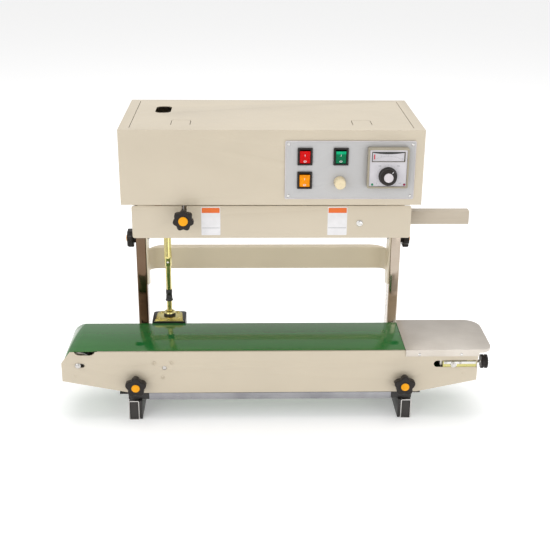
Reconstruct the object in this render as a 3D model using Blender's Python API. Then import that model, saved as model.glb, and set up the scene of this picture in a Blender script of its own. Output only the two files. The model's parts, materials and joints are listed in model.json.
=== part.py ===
"""Continuous band sealer: a sealing head on a two-post stand over a belt conveyor.

Units are metres and +Z is up.  While modelling, X = 0 is the middle of the sealing head, Y = 0 is
its front face and Z = 0 is the floor.  The empty called "machine" then moves everything so that the
origin is the middle of the footprint of the machine's bounding box, on the floor.
"""

import math

import bmesh
import bpy
from mathutils import Matrix, Vector

MM = 0.001
GAP = 0.3 * MM

# Whole machine: middle of the bounding box, seen from the head's own middle and front face
MACHINE_CENTRE_X = 12.75 * MM
MACHINE_CENTRE_Y = 122.45 * MM

# Stand
RAIL_X = 256 * MM
RAIL_WIDTH = 20 * MM
RAIL_HEIGHT = 40 * MM
RAIL_FRONT = -35 * MM
RAIL_REAR = 300 * MM
TUBE_WALL = 2 * MM
TUBE_CORNER = 3 * MM
PLUG_DEPTH = 14 * MM
PLUG_INSET = 1.5 * MM
POST_X = 253 * MM
POST_FRONT = 172 * MM
POST_DEPTH = 40 * MM
POST_TOP = 355 * MM
POST_SLOT_LOW = 230 * MM
POST_SLOT_HIGH = 344 * MM
STUD_RADIUS = 4 * MM
STUD_CLEARANCE = 0.4 * MM
BRACKET_INNER_X = 228 * MM
BRACKET_OUTER_X = 282 * MM
BRACKET_TOP = 54.3 * MM
BRACKET_FRONT = -28 * MM
CROSSBAR_SIZE = 14 * MM

# Conveyor
SIDE_HALF_LENGTH = 386.5 * MM
SIDE_FRONT = -30 * MM
SIDE_REAR = 103 * MM
SIDE_THICKNESS = 2 * MM
SIDE_BOTTOM = 54.6 * MM
SIDE_END_BOTTOM = 80 * MM
SIDE_TOP = 139 * MM
SIDE_FLANGE = 4.8 * MM
SIDE_CLIP_X = -370 * MM
SIDE_CLIP_Z = 117 * MM
REAR_PLATE_TOP = 135 * MM
REAR_PLATE_LEFT = -379 * MM
REAR_PLATE_ROUND = 22 * MM
BELT_FRONT = -24.5 * MM
BELT_REAR = 97.5 * MM
BELT_THICKNESS = 2 * MM
AXLE_Z = 111.8 * MM
AXLE_RADIUS = 4 * MM
ROLLER_RADIUS = 25.3 * MM
END_ROLLER_X = -356 * MM
TENSION_ROLLER_X = 341 * MM
BED_LIP = 2.6 * MM
DRIVE_ROLLER_X = -197 * MM
DRIVE_ROLLER_Z = 106.4 * MM
DRIVE_ROLLER_RADIUS = 27 * MM
SLOT_LOW = 105.3 * MM
SLOT_HIGH = 118.8 * MM
SLOT_LEFT = 304 * MM
TENSION_SCREW_Y = -19 * MM
TABLE_LEFT = 250 * MM
TABLE_RIGHT = 412 * MM
TABLE_TOP = 141.4 * MM
TABLE_SHEET = 1.5 * MM
TABLE_REAR_ROUND = 32 * MM
TABLE_FRONT_ROUND = 22 * MM
TABLE_SKIRT = 13 * MM
TABLE_SKIRT_RIGHT = 388 * MM
TABLE_LIP = 6 * MM
CLAMP_KNOB_X = 249.5 * MM
CLAMP_KNOB_Z = 75 * MM
CLAMP_KNOB_RADIUS = 20 * MM

# Drive line between the head and the conveyor
SHAFT_X = DRIVE_ROLLER_X
SHAFT_Y = 133 * MM
SLEEVE_BOTTOM = 247 * MM
SLEEVE_TOP = 470 * MM
SLEEVE_BORE_TOP = 400 * MM
ROD_RADIUS = 5.5 * MM
ROD_TOP = 330 * MM
COUPLING_BOTTOM = 174 * MM
COUPLING_TOP = 197 * MM
GEARBOX_WIDTH = 65 * MM
GEARBOX_REAR = 153 * MM
GEARBOX_BOTTOM = 76 * MM
GEARBOX_TOP = 141 * MM

# Sealing head
COVER_HALF_WIDTH = 266.5 * MM
COVER_DEPTH = 250 * MM
COVER_BOTTOM = 413 * MM
COVER_TOP = 548 * MM
PORT_CENTRE = (-198.5 * MM, 163 * MM)
PORT_SIZE = (29 * MM, 57 * MM)
PORT_CORNER = 11 * MM
SHEET = 1.5 * MM
DECK_BOTTOM = 409.2 * MM
DECK_TOP = 412.7 * MM
DECK_HALF_WIDTH = 248 * MM
GUARD_FRONT = 8 * MM
GUARD_HALF_WIDTH = 250 * MM
GUARD_BOTTOM = 348 * MM
REAR_GUARD_Y = 97 * MM
SEAL_PLANE_Y = 52 * MM
BAND_LOW = 364 * MM
BAND_HIGH = 380 * MM
BAND_THICKNESS = 0.8 * MM
BAND_WHEEL_RADIUS = 19 * MM
BAND_WHEEL_X = 205 * MM
BAND_FACE_GAP = 0.3 * MM
PRESS_WHEEL_RADIUS = 15 * MM
PRESS_X = -155.5 * MM
PRESS_KNOB_Z = 392.5 * MM
PRESS_KNOB_RADIUS = 19 * MM
POST_KNOB_RADIUS = 19.5 * MM
KNOB_GRIP = (7 * MM, 21 * MM)
POST_KNOB_GRIP = (4 * MM, 16.5 * MM)
GEAR_TEETH = 24
GEAR_LOW = 419 * MM
GEAR_HIGH = 427 * MM
LEG_THICKNESS = 2.5 * MM
CLAMP_Y = 192 * MM
CLAMP_Z = 283 * MM
FRAME_WEB_LOW = 210.3 * MM
FRAME_WEB_HIGH = 254 * MM
FRAME_BEND = 18 * MM
FRAME_FLANGE = 19 * MM
FRAME_FLANGE_CORNER = 36 * MM
FEED_LEFT = 230 * MM
FEED_RIGHT = 365 * MM
FEED_LOW = 361 * MM
FEED_HIGH = 386 * MM
FEED_FLANGE = 6 * MM

# Control panel
PANEL_LEFT = 22.7 * MM
PANEL_RIGHT = 251 * MM
PANEL_LOW = 424.5 * MM
PANEL_HIGH = 529.5 * MM
PANEL_THICKNESS = 1.5 * MM
SWITCH_WIDTH = 26 * MM
SWITCH_HEIGHT = 31 * MM
SWITCH_PLACES = {
    "red": (57.4 * MM, 501.8 * MM),
    "yellow": (57.4 * MM, 459.2 * MM),
    "green": (120.1 * MM, 501.8 * MM),
}
SPEED_KNOB_PLACE = (119.2 * MM, 456 * MM)
SPEED_KNOB_RADIUS = 10.5 * MM
CONTROLLER_CENTRE = (202.2 * MM, 483.5 * MM)
CONTROLLER_SIDE = 72 * MM
WINDOW_Z = 503.8 * MM
WINDOW_SIZE = (58 * MM, 18 * MM)
WINDOW_DEPTH = 7 * MM
CONTROLLER_FACE_Y = -12 * MM
DIAL_Z = 469.5 * MM
DIAL_RADIUS = 16.4 * MM
DIAL_CAP_RADIUS = 8.2 * MM
ROCKER_RIM_Y = -4.8 * MM
ROCKER_MIDDLE_Y = -2.8 * MM
ROCKER_TILT_DEG = 8
NEEDLE_Z = 488 * MM
NEEDLE_LENGTH = 24 * MM
NEEDLE_REST_DEG = 35

# Colour, roughness and metallic value of each material
MATERIALS = {
    "beige_paint": ((0.68, 0.60, 0.46), 0.45, 0.0),
    "chrome_tube": ((0.62, 0.60, 0.58), 0.12, 1.0),
    "black_paint": ((0.02, 0.02, 0.02), 0.45, 0.2),
    "black_plastic": ((0.03, 0.028, 0.025), 0.4, 0.0),
    "green_belt": ((0.05, 0.30, 0.12), 0.25, 0.0),
    "bright_steel": ((0.55, 0.54, 0.52), 0.3, 1.0),
    "zinc_yellow": ((0.62, 0.55, 0.25), 0.25, 1.0),
    "panel_grey": ((0.58, 0.57, 0.56), 0.5, 0.1),
    "red_lens": ((0.75, 0.01, 0.01), 0.25, 0.0),
    "yellow_lens": ((0.9, 0.45, 0.01), 0.25, 0.0),
    "green_lens": ((0.01, 0.40, 0.16), 0.25, 0.0),
    "cream_plastic": ((0.80, 0.70, 0.50), 0.4, 0.0),
    "band_film": ((0.45, 0.30, 0.15), 0.4, 0.0),
    "aluminium": ((0.60, 0.60, 0.61), 0.35, 1.0),
    "motor_grey": ((0.18, 0.19, 0.20), 0.5, 0.5),
    "rubber": ((0.04, 0.04, 0.04), 0.8, 0.0),
}


# ---------------------------------------------------------------- helpers


def clear_scene():
    for obj in list(bpy.data.objects):
        bpy.data.objects.remove(obj, do_unlink=True)


def material(name):
    """The named Principled material, made the first time that it is asked for."""
    found = bpy.data.materials.get(name)
    if found:
        return found
    colour, roughness, metallic = MATERIALS[name]
    made = bpy.data.materials.new(name)
    made.use_nodes = True
    shader = made.node_tree.nodes["Principled BSDF"]
    shader.inputs["Base Color"].default_value = (*colour, 1.0)
    shader.inputs["Roughness"].default_value = roughness
    shader.inputs["Metallic"].default_value = metallic
    made.diffuse_color = (*colour, 1.0)
    return made


def machine():
    """The empty that carries every piece and sets the machine's origin."""
    found = bpy.data.objects.get("machine")
    if found:
        return found
    empty = bpy.data.objects.new("machine", None)
    empty.location = (-MACHINE_CENTRE_X, -MACHINE_CENTRE_Y, 0)
    bpy.context.scene.collection.objects.link(empty)
    return empty


def add_object(name, shape, finish, pivot=(0, 0, 0), smooth_deg=None):
    """Turns a bmesh in machine coordinates into an object whose origin is at the pivot."""
    bmesh.ops.recalc_face_normals(shape, faces=shape.faces)
    bmesh.ops.translate(shape, verts=shape.verts, vec=-Vector(pivot))
    mesh = bpy.data.meshes.new(name)
    shape.to_mesh(mesh)
    shape.free()
    mesh.materials.append(material(finish))
    if smooth_deg is not None:
        mesh.shade_smooth()
        mesh.set_sharp_from_angle(angle=math.radians(smooth_deg))
    obj = bpy.data.objects.new(name, mesh)
    obj.location = pivot
    obj.parent = machine()
    bpy.context.scene.collection.objects.link(obj)
    return obj


def combine(target, shape, operation):
    """Adds a Boolean with a hidden helper made from the bmesh."""
    count = sum(1 for modifier in target.modifiers if modifier.type == "BOOLEAN")
    helper = add_object(f"{target.name}.helper{count}", shape, "black_paint")
    helper.hide_render = True
    helper.display_type = "WIRE"
    modifier = target.modifiers.new(f"{operation.lower()}{count}", "BOOLEAN")
    modifier.operation = operation
    modifier.solver = "EXACT"
    modifier.object = helper
    return target


def cut(target, shape):
    return combine(target, shape, "DIFFERENCE")


def fuse(target, shape):
    return combine(target, shape, "UNION")


def block(low, high):
    """A box between two corners."""
    shape = bmesh.new()
    low, high = Vector(low), Vector(high)
    middle, size = (low + high) / 2, high - low
    bmesh.ops.create_cube(shape, size=1, matrix=Matrix.Translation(middle) @ Matrix.Diagonal((*size, 1)))
    return shape


def on_axis(axis, first, second, along):
    """A point from its two cross-section coordinates and its place along the axis."""
    if axis == "X":
        return (along, first, second)
    if axis == "Y":
        return (first, along, second)
    return (first, second, along)


def prism(outline, axis, start, end):
    """A closed outline, in the two coordinates across the axis, extruded along the axis."""
    shape = bmesh.new()
    corners = [shape.verts.new(on_axis(axis, u, v, start)) for u, v in outline]
    face = shape.faces.new(corners)
    made = bmesh.ops.extrude_face_region(shape, geom=[face])
    moved = [item for item in made["geom"] if isinstance(item, bmesh.types.BMVert)]
    bmesh.ops.translate(shape, verts=moved, vec=Vector(on_axis(axis, 0, 0, end - start)))
    return shape


def ring_prism(outer, inner, axis, start, end):
    """A tube whose outer and inner outlines have the same number of points."""
    shape = bmesh.new()
    rings = [
        [shape.verts.new(on_axis(axis, u, v, place)) for u, v in outline]
        for place in (start, end)
        for outline in (outer, inner)
    ]
    count = len(outer)
    for near, far in ((0, 1), (1, 3), (3, 2), (2, 0)):
        for i in range(count):
            j = (i + 1) % count
            shape.faces.new((rings[near][i], rings[near][j], rings[far][j], rings[far][i]))
    return shape


def rounded_rectangle(centre_u, centre_v, width, height, radius, steps=3):
    """Outline of a rectangle with round corners, anticlockwise."""
    points = []
    corners = ((1, 1, 0), (-1, 1, 90), (-1, -1, 180), (1, -1, 270))
    for side_u, side_v, first_deg in corners:
        middle_u = centre_u + side_u * (width / 2 - radius)
        middle_v = centre_v + side_v * (height / 2 - radius)
        for step in range(steps + 1):
            angle = math.radians(first_deg + 90 * step / steps)
            points.append((middle_u + radius * math.cos(angle), middle_v + radius * math.sin(angle)))
    return points


def circle(centre_u, centre_v, radius, steps=20):
    return [
        (
            centre_u + radius * math.cos(2 * math.pi * step / steps),
            centre_v + radius * math.sin(2 * math.pi * step / steps),
        )
        for step in range(steps)
    ]


def arc(centre_u, centre_v, radius, first_deg, last_deg, steps):
    points = []
    for step in range(steps + 1):
        angle = math.radians(first_deg + (last_deg - first_deg) * step / steps)
        points.append((centre_u + radius * math.cos(angle), centre_v + radius * math.sin(angle)))
    return points


def slot_outline(start, end, radius, steps=8):
    """Outline of a round-ended slot between the middles of its two end circles."""
    turn = math.degrees(math.atan2(end[1] - start[1], end[0] - start[0]))
    first = arc(*end, radius, turn - 90, turn + 90, steps)
    second = arc(*start, radius, turn + 90, turn + 270, steps)
    return first + second


def lobed_outline(centre_u, centre_v, radius, lobes, depth, steps=6):
    """Outline of a star knob: a circle whose radius swells once for each lobe."""
    points = []
    count = lobes * steps
    for step in range(count):
        angle = 2 * math.pi * step / count
        reach = radius - depth * (0.5 - 0.5 * math.cos(lobes * angle)) ** 1.4
        points.append((centre_u + reach * math.sin(angle), centre_v + reach * math.cos(angle)))
    return points


def gear_outline(centre_u, centre_v, teeth, pitch_radius, phase):
    """Outline of a spur gear with straight-sided teeth and a little backlash."""
    module = 2 * pitch_radius / teeth
    root, tip = pitch_radius - 1.25 * module, pitch_radius + 0.8 * module
    shares = ((-0.30, root), (-0.13, tip), (0.13, tip), (0.30, root))
    points = []
    for tooth in range(teeth):
        for share, reach in shares:
            angle = 2 * math.pi * (tooth + phase + share) / teeth
            points.append((centre_u + reach * math.cos(angle), centre_v + reach * math.sin(angle)))
    return points


def loop_outline(circles, offset, steps):
    """Outline of a belt round circles (u, v, radius), given anticlockwise, at an offset from them."""
    count = len(circles)
    normals = []
    for i in range(count):
        u0, v0, r0 = circles[i]
        u1, v1, r1 = circles[(i + 1) % count]
        heading = math.atan2(v1 - v0, u1 - u0)
        lean = math.asin((r0 - r1) / math.hypot(u1 - u0, v1 - v0))
        normals.append(heading - math.pi / 2 + lean)
    points = []
    for i in range(count):
        u, v, radius = circles[i]
        first, last = normals[i - 1], normals[i]
        while last < first:
            last += 2 * math.pi
        for step in range(steps[i] + 1):
            angle = first + (last - first) * step / steps[i]
            reach = radius + offset
            points.append((u + reach * math.cos(angle), v + reach * math.sin(angle)))
    return points


def turned(profile, axis, centre_u, centre_v, steps=24):
    """A solid of revolution; the profile is (radius, place along the axis), from axis to axis."""
    shape = bmesh.new()
    rings = []
    for radius, along in profile:
        if radius < 1e-9:
            rings.append([shape.verts.new(on_axis(axis, centre_u, centre_v, along))])
            continue
        rings.append(
            [shape.verts.new(on_axis(axis, u, v, along)) for u, v in circle(centre_u, centre_v, radius, steps)]
        )
    for near, far in zip(rings, rings[1:]):
        for i in range(steps):
            j = (i + 1) % steps
            corners = [near[i % len(near)], near[j % len(near)], far[j % len(far)], far[i % len(far)]]
            unique = list(dict.fromkeys(corners))
            if len(unique) > 2:
                shape.faces.new(unique)
    return shape


def rod(axis, centre_u, centre_v, radius, start, end, steps=20):
    return prism(circle(centre_u, centre_v, radius, steps), axis, start, end)


def tube_box(name, finish, axis, centre, size, start, end):
    """A rectangular tube with round corners, open at both ends."""
    outer = rounded_rectangle(*centre, *size, TUBE_CORNER)
    inner_size = [side - 2 * TUBE_WALL for side in size]
    inner = rounded_rectangle(*centre, *inner_size, TUBE_CORNER - TUBE_WALL)
    return add_object(name, ring_prism(outer, inner, axis, start, end), finish, smooth_deg=35)


# ---------------------------------------------------------------- stand


def build_stand():
    for side, name in ((-1, "left"), (1, "right")):
        rail_centre = (side * RAIL_X, RAIL_HEIGHT / 2)
        rail_size = (RAIL_WIDTH, RAIL_HEIGHT)
        tube_box(f"{name}_foot_rail", "chrome_tube", "Y", rail_centre, rail_size, RAIL_FRONT, RAIL_REAR)
        build_plugs(side, name)
        build_post(side, name)
        build_bracket(side, name)
    bar_reach = BRACKET_INNER_X - GAP
    bar_low = BRACKET_TOP - 1.2 * MM - CROSSBAR_SIZE
    bar = block(
        (-bar_reach, BRACKET_FRONT, bar_low),
        (bar_reach, BRACKET_FRONT + 20 * MM, bar_low + CROSSBAR_SIZE),
    )
    add_object("base_crossbar", bar, "bright_steel")


def build_plugs(side, name):
    width = RAIL_WIDTH - 2 * TUBE_WALL - 2 * GAP
    height = RAIL_HEIGHT - 2 * TUBE_WALL - 2 * GAP
    outline = rounded_rectangle(side * RAIL_X, RAIL_HEIGHT / 2, width, height, 1 * MM, 2)
    ends = (
        ("front", RAIL_FRONT + PLUG_INSET, RAIL_FRONT + PLUG_INSET + PLUG_DEPTH),
        ("rear", RAIL_REAR - PLUG_INSET - PLUG_DEPTH, RAIL_REAR - PLUG_INSET),
    )
    for end_name, start, end in ends:
        add_object(f"{name}_{end_name}_plug", prism(outline, "Y", start, end), "black_plastic")


def build_post(side, name):
    centre = (side * POST_X, POST_FRONT + POST_DEPTH / 2)
    size = (RAIL_WIDTH, POST_DEPTH)
    post = tube_box(f"{name}_post", "chrome_tube", "Z", centre, size, RAIL_HEIGHT + GAP, POST_TOP)
    radius = STUD_RADIUS + STUD_CLEARANCE
    slot = slot_outline((CLAMP_Y, POST_SLOT_LOW + radius), (CLAMP_Y, POST_SLOT_HIGH - radius), radius)
    reach = RAIL_WIDTH
    cut(post, prism(slot, "X", side * POST_X - reach, side * POST_X + reach))


def build_bracket(side, name):
    """Black bracket: a plate against the rail's inner side, a block on the rail and a knob tab."""

    def across(near, far):
        return sorted((side * near, side * far))

    low, high = across(BRACKET_INNER_X, BRACKET_OUTER_X)
    top_plate_bottom = BRACKET_TOP - 3 * MM
    shape = block((low, BRACKET_FRONT, top_plate_bottom), (high, SIDE_REAR, BRACKET_TOP))
    bracket = add_object(f"{name}_conveyor_bracket", shape, "black_paint")
    low, high = across(BRACKET_INNER_X, RAIL_X + RAIL_WIDTH / 2)
    seat = block((low, BRACKET_FRONT, RAIL_HEIGHT + GAP), (high, 60 * MM, top_plate_bottom + MM))
    fuse(bracket, seat)
    plate_outer = RAIL_X - RAIL_WIDTH / 2 - GAP
    low, high = across(plate_outer - 5 * MM, plate_outer)
    fuse(bracket, block((low, -33 * MM, 1 * MM), (high, 235 * MM, RAIL_HEIGHT - GAP)))
    fuse(bracket, block((low, -27 * MM, RAIL_HEIGHT / 2), (high, 59 * MM, RAIL_HEIGHT + 5 * MM)))
    low, high = across(236 * MM, 263 * MM)
    tab_front = SIDE_FRONT + SIDE_THICKNESS + GAP
    tab = block((low, tab_front, top_plate_bottom + MM), (high, tab_front + 2.5 * MM, 98 * MM))
    fuse(bracket, tab)
    hole = rod("Y", side * CLAMP_KNOB_X, CLAMP_KNOB_Z, STUD_RADIUS + STUD_CLEARANCE, -35 * MM, -20 * MM)
    cut(bracket, hole)


# ---------------------------------------------------------------- conveyor


def front_side_outline():
    """Front plate: cut-away lower corners and a clipped upper left corner."""
    return [
        (-SIDE_HALF_LENGTH, SIDE_END_BOTTOM),
        (-259 * MM, SIDE_BOTTOM),
        (275 * MM, SIDE_BOTTOM),
        (SIDE_HALF_LENGTH, SIDE_END_BOTTOM - 1.5 * MM),
        (SIDE_HALF_LENGTH, SIDE_TOP),
        (SIDE_CLIP_X, SIDE_TOP),
        (-SIDE_HALF_LENGTH, SIDE_CLIP_Z),
    ]


def rear_side_outline():
    """Rear plate: a little lower than the belt, with a round upper left corner."""
    outline = [
        (REAR_PLATE_LEFT, SIDE_END_BOTTOM),
        (-259 * MM, SIDE_BOTTOM),
        (275 * MM, SIDE_BOTTOM),
        (SIDE_HALF_LENGTH, SIDE_END_BOTTOM - 1.5 * MM),
        (SIDE_HALF_LENGTH, REAR_PLATE_TOP),
    ]
    centre_x, centre_z = REAR_PLATE_LEFT + REAR_PLATE_ROUND, REAR_PLATE_TOP - REAR_PLATE_ROUND
    return outline + arc(centre_x, centre_z, REAR_PLATE_ROUND, 90, 180, 6)


def build_side_plate(name, outline, top, outer_y, inward):
    """One side plate; inward is +1 on the front plate and -1 on the rear one."""
    inner_y = outer_y + inward * SIDE_THICKNESS
    plate = add_object(name, prism(outline, "Y", outer_y, inner_y), "beige_paint")
    buried_y = outer_y + inward * SIDE_THICKNESS / 2
    flange_y = outer_y + inward * SIDE_FLANGE
    low_y, high_y = sorted((buried_y, flange_y))
    flange = block(
        (-320 * MM, low_y, top - 2.2 * MM),
        (SIDE_HALF_LENGTH - 4 * MM, high_y, top - 0.2 * MM),
    )
    fuse(plate, flange)
    far_y = outer_y + inward * 22 * MM
    low_y, high_y = sorted((buried_y, far_y))
    end_flange = block(
        (SIDE_HALF_LENGTH - 2.2 * MM, low_y, SIDE_END_BOTTOM),
        (SIDE_HALF_LENGTH - 0.2 * MM, high_y, top - 3 * MM),
    )
    fuse(plate, end_flange)
    span = sorted((outer_y - inward * 2 * MM, outer_y + inward * (SIDE_THICKNESS + 0.05 * MM)))
    clearance = AXLE_RADIUS + GAP
    end_slot = slot_outline((END_ROLLER_X, AXLE_Z), (END_ROLLER_X + 8 * MM, AXLE_Z), clearance)
    cut(plate, prism(end_slot, "Y", *span))
    cut(plate, rod("Y", DRIVE_ROLLER_X, DRIVE_ROLLER_Z, clearance, *span))
    return plate, span


def build_side_plates():
    front, span = build_side_plate("front_side_plate", front_side_outline(), SIDE_TOP, SIDE_FRONT, 1)
    dip = slot_outline((-352 * MM, SIDE_TOP + 4 * MM), (-334 * MM, SIDE_TOP + 4 * MM), 11 * MM)
    cut(front, prism(dip, "Y", *span))
    for side in (-1, 1):
        knob_x = side * CLAMP_KNOB_X
        fork = slot_outline((knob_x, SIDE_BOTTOM - 8 * MM), (knob_x, CLAMP_KNOB_Z), STUD_RADIUS + STUD_CLEARANCE)
        cut(front, prism(fork, "Y", *span))
    middle = (SLOT_LOW + SLOT_HIGH) / 2
    radius = (SLOT_HIGH - SLOT_LOW) / 2
    slot = slot_outline((SLOT_LEFT + radius, middle), (SIDE_HALF_LENGTH + 10 * MM, middle), radius)
    cut(front, prism(slot, "Y", *span))
    screw_hole = rod("X", TENSION_SCREW_Y, AXLE_Z, 3.5 * MM, SIDE_HALF_LENGTH - 5 * MM, SIDE_HALF_LENGTH + 5 * MM)
    cut(front, screw_hole)
    rear, span = build_side_plate("rear_side_plate", rear_side_outline(), REAR_PLATE_TOP, SIDE_REAR, -1)
    axle_slot = slot_outline(
        (TENSION_ROLLER_X - 10 * MM, AXLE_Z), (TENSION_ROLLER_X, AXLE_Z), AXLE_RADIUS + GAP
    )
    cut(rear, prism(axle_slot, "Y", *span))


def build_belt():
    circles = [
        (TENSION_ROLLER_X, AXLE_Z, ROLLER_RADIUS),
        (END_ROLLER_X, AXLE_Z, ROLLER_RADIUS),
        (DRIVE_ROLLER_X, DRIVE_ROLLER_Z, DRIVE_ROLLER_RADIUS),
    ]
    steps = (14, 14, 3)
    inner = loop_outline(circles, GAP, steps)
    outer = loop_outline(circles, GAP + BELT_THICKNESS, steps)
    shape = ring_prism(outer, inner, "Y", BELT_FRONT, BELT_REAR)
    add_object("conveyor_belt", shape, "green_belt", smooth_deg=30)
    top = AXLE_Z + ROLLER_RADIUS
    front = SIDE_FRONT + SIDE_THICKNESS + GAP
    rear = SIDE_REAR - SIDE_FLANGE - GAP
    bed_low, bed_high = top - 2.5 * MM, top - 1 * MM
    profile = [
        (front, bed_high),
        (front, bed_high - BED_LIP),
        (front + SHEET, bed_high - BED_LIP),
        (front + SHEET, bed_low),
        (rear - SHEET, bed_low),
        (rear - SHEET, bed_high - BED_LIP),
        (rear, bed_high - BED_LIP),
        (rear, bed_high),
    ]
    add_object("belt_bed", prism(profile, "X", -318 * MM, 303 * MM), "bright_steel")


def roller_profile(radius, front_end, rear_end):
    """A roller with its axle: ends between the side plates and an axle that runs through them."""
    roller_front = BELT_FRONT + 0.5 * MM
    roller_rear = BELT_REAR - 0.5 * MM
    return [
        (0, front_end),
        (AXLE_RADIUS, front_end),
        (AXLE_RADIUS, roller_front),
        (radius - 1 * MM, roller_front),
        (radius, roller_front + 1 * MM),
        (radius, roller_rear - 1 * MM),
        (radius - 1 * MM, roller_rear),
        (AXLE_RADIUS, roller_rear),
        (AXLE_RADIUS, rear_end),
        (0, rear_end),
    ]


def build_rollers():
    places = {
        "end_roller": (END_ROLLER_X, -34 * MM, 107 * MM),
        "tension_roller": (TENSION_ROLLER_X, -37 * MM, 107 * MM),
    }
    for name, (x, front_end, rear_end) in places.items():
        profile = roller_profile(ROLLER_RADIUS, front_end, rear_end)
        shape = turned(profile, "Y", x, AXLE_Z)
        add_object(name, shape, "bright_steel", (x, (BELT_FRONT + BELT_REAR) / 2, AXLE_Z), 35)
    apex_y = SHAFT_Y
    profile = roller_profile(DRIVE_ROLLER_RADIUS - GAP, SIDE_FRONT + 0.5 * MM, apex_y - 9 * MM)[:-2]
    clear = 0.6 * MM
    profile += [
        (AXLE_RADIUS, apex_y - 18 * MM),
        (18 * MM - clear, apex_y - 18 * MM),
        (10.5 * MM - clear, apex_y - 10.5 * MM),
        (0, apex_y - 10.5 * MM),
    ]
    shape = turned(profile, "Y", DRIVE_ROLLER_X, DRIVE_ROLLER_Z)
    pivot = (DRIVE_ROLLER_X, (BELT_FRONT + BELT_REAR) / 2, DRIVE_ROLLER_Z)
    add_object("drive_roller", shape, "bright_steel", pivot, 35)


def build_tension_parts():
    block_left, block_right = 321 * MM, 383.5 * MM
    arm_left = 378 * MM
    low, high = SLOT_LOW + 1 * MM, SLOT_HIGH - 1 * MM
    outline = [
        (block_left, -30.8 * MM),
        (block_right, -30.8 * MM),
        (block_right, -11 * MM),
        (arm_left, -11 * MM),
        (arm_left, BELT_FRONT - 0.6 * MM),
        (block_left, BELT_FRONT - 0.6 * MM),
    ]
    slider = add_object("tension_block", prism(outline, "Z", low, high), "zinc_yellow")
    cut(slider, rod("Y", TENSION_ROLLER_X, AXLE_Z, AXLE_RADIUS + GAP, -34 * MM, -20 * MM))
    cut(slider, rod("X", TENSION_SCREW_Y, AXLE_Z, 3.3 * MM, 370 * MM, 390 * MM))
    knob_low, knob_high = 394 * MM, 406 * MM
    screw = prism(circle(TENSION_SCREW_Y, AXLE_Z, 3 * MM, 12), "X", 370 * MM, knob_low + 2 * MM)
    pivot = (knob_low, TENSION_SCREW_Y, AXLE_Z)
    grip = lobed_outline(TENSION_SCREW_Y, AXLE_Z, 13 * MM, 8, 2 * MM, 4)
    knob = add_object("tension_knob", prism(grip, "X", knob_low, knob_high), "black_plastic", pivot)
    fuse(knob, screw)


def build_table_plate():
    top, low = TABLE_TOP, TABLE_TOP - TABLE_SHEET
    front, rear = SIDE_FRONT - 2 * MM, SIDE_REAR + 2 * MM
    rear_round, front_round = TABLE_REAR_ROUND, TABLE_FRONT_ROUND
    outline = [(TABLE_LEFT, rear), (TABLE_LEFT, front)]
    outline += arc(TABLE_RIGHT - front_round, front + front_round, front_round, -90, 0, 5)
    outline += arc(TABLE_RIGHT - rear_round, rear - rear_round, rear_round, 0, 90, 7)
    plate = add_object("table_plate", prism(outline, "Z", low, top), "bright_steel")
    skirt_bottom = TABLE_TOP - TABLE_SKIRT
    skirt_right = TABLE_SKIRT_RIGHT
    for near, far, right in (
        (front, front + TABLE_SHEET, skirt_right),
        (rear - TABLE_SHEET, rear, TABLE_RIGHT - rear_round),
    ):
        fuse(plate, block((TABLE_LEFT + 0.5 * MM, near, skirt_bottom), (right, far, low + 0.5 * MM)))
    front_centre = (TABLE_RIGHT - front_round, front + front_round)
    rear_centre = (TABLE_RIGHT - rear_round, rear - rear_round)
    lip = [(skirt_right, front)]
    lip += arc(*front_centre, front_round, -90, 0, 5)
    lip += arc(*rear_centre, rear_round, 0, 90, 7)
    lip += arc(*rear_centre, rear_round - TABLE_SHEET, 90, 0, 7)
    lip += arc(*front_centre, front_round - TABLE_SHEET, 0, -90, 5)
    lip += [(skirt_right, front + TABLE_SHEET)]
    fuse(plate, prism(lip, "Z", TABLE_TOP - TABLE_LIP, low + 0.5 * MM))


def build_gearbox():
    half = GEARBOX_WIDTH / 2
    front = SIDE_REAR + GAP
    outline = [(SHAFT_X - half, front), (SHAFT_X + half, front)]
    outline += arc(SHAFT_X + half - 7 * MM, GEARBOX_REAR - 7 * MM, 7 * MM, 0, 90, 3)
    outline += arc(SHAFT_X - half + 7 * MM, GEARBOX_REAR - 7 * MM, 7 * MM, 90, 180, 3)
    housing = add_object("gear_housing", prism(outline, "Z", GEARBOX_BOTTOM, GEARBOX_TOP), "black_paint")
    fuse(housing, rod("Z", SHAFT_X, SHAFT_Y, 11 * MM, GEARBOX_TOP - 1 * MM, GEARBOX_TOP + 6 * MM))
    cavity = block(
        (SHAFT_X - half + 6 * MM, front + 5 * MM, GEARBOX_BOTTOM + 5 * MM),
        (SHAFT_X + half - 6 * MM, GEARBOX_REAR - 2 * MM, GEARBOX_TOP - 5 * MM),
    )
    cut(housing, cavity)
    cut(housing, rod("Y", SHAFT_X, DRIVE_ROLLER_Z, AXLE_RADIUS + GAP, front - 5 * MM, front + 8 * MM))
    cut(housing, rod("Z", SHAFT_X, SHAFT_Y, 5.4 * MM, GEARBOX_TOP - 8 * MM, GEARBOX_TOP + 9 * MM))


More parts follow.
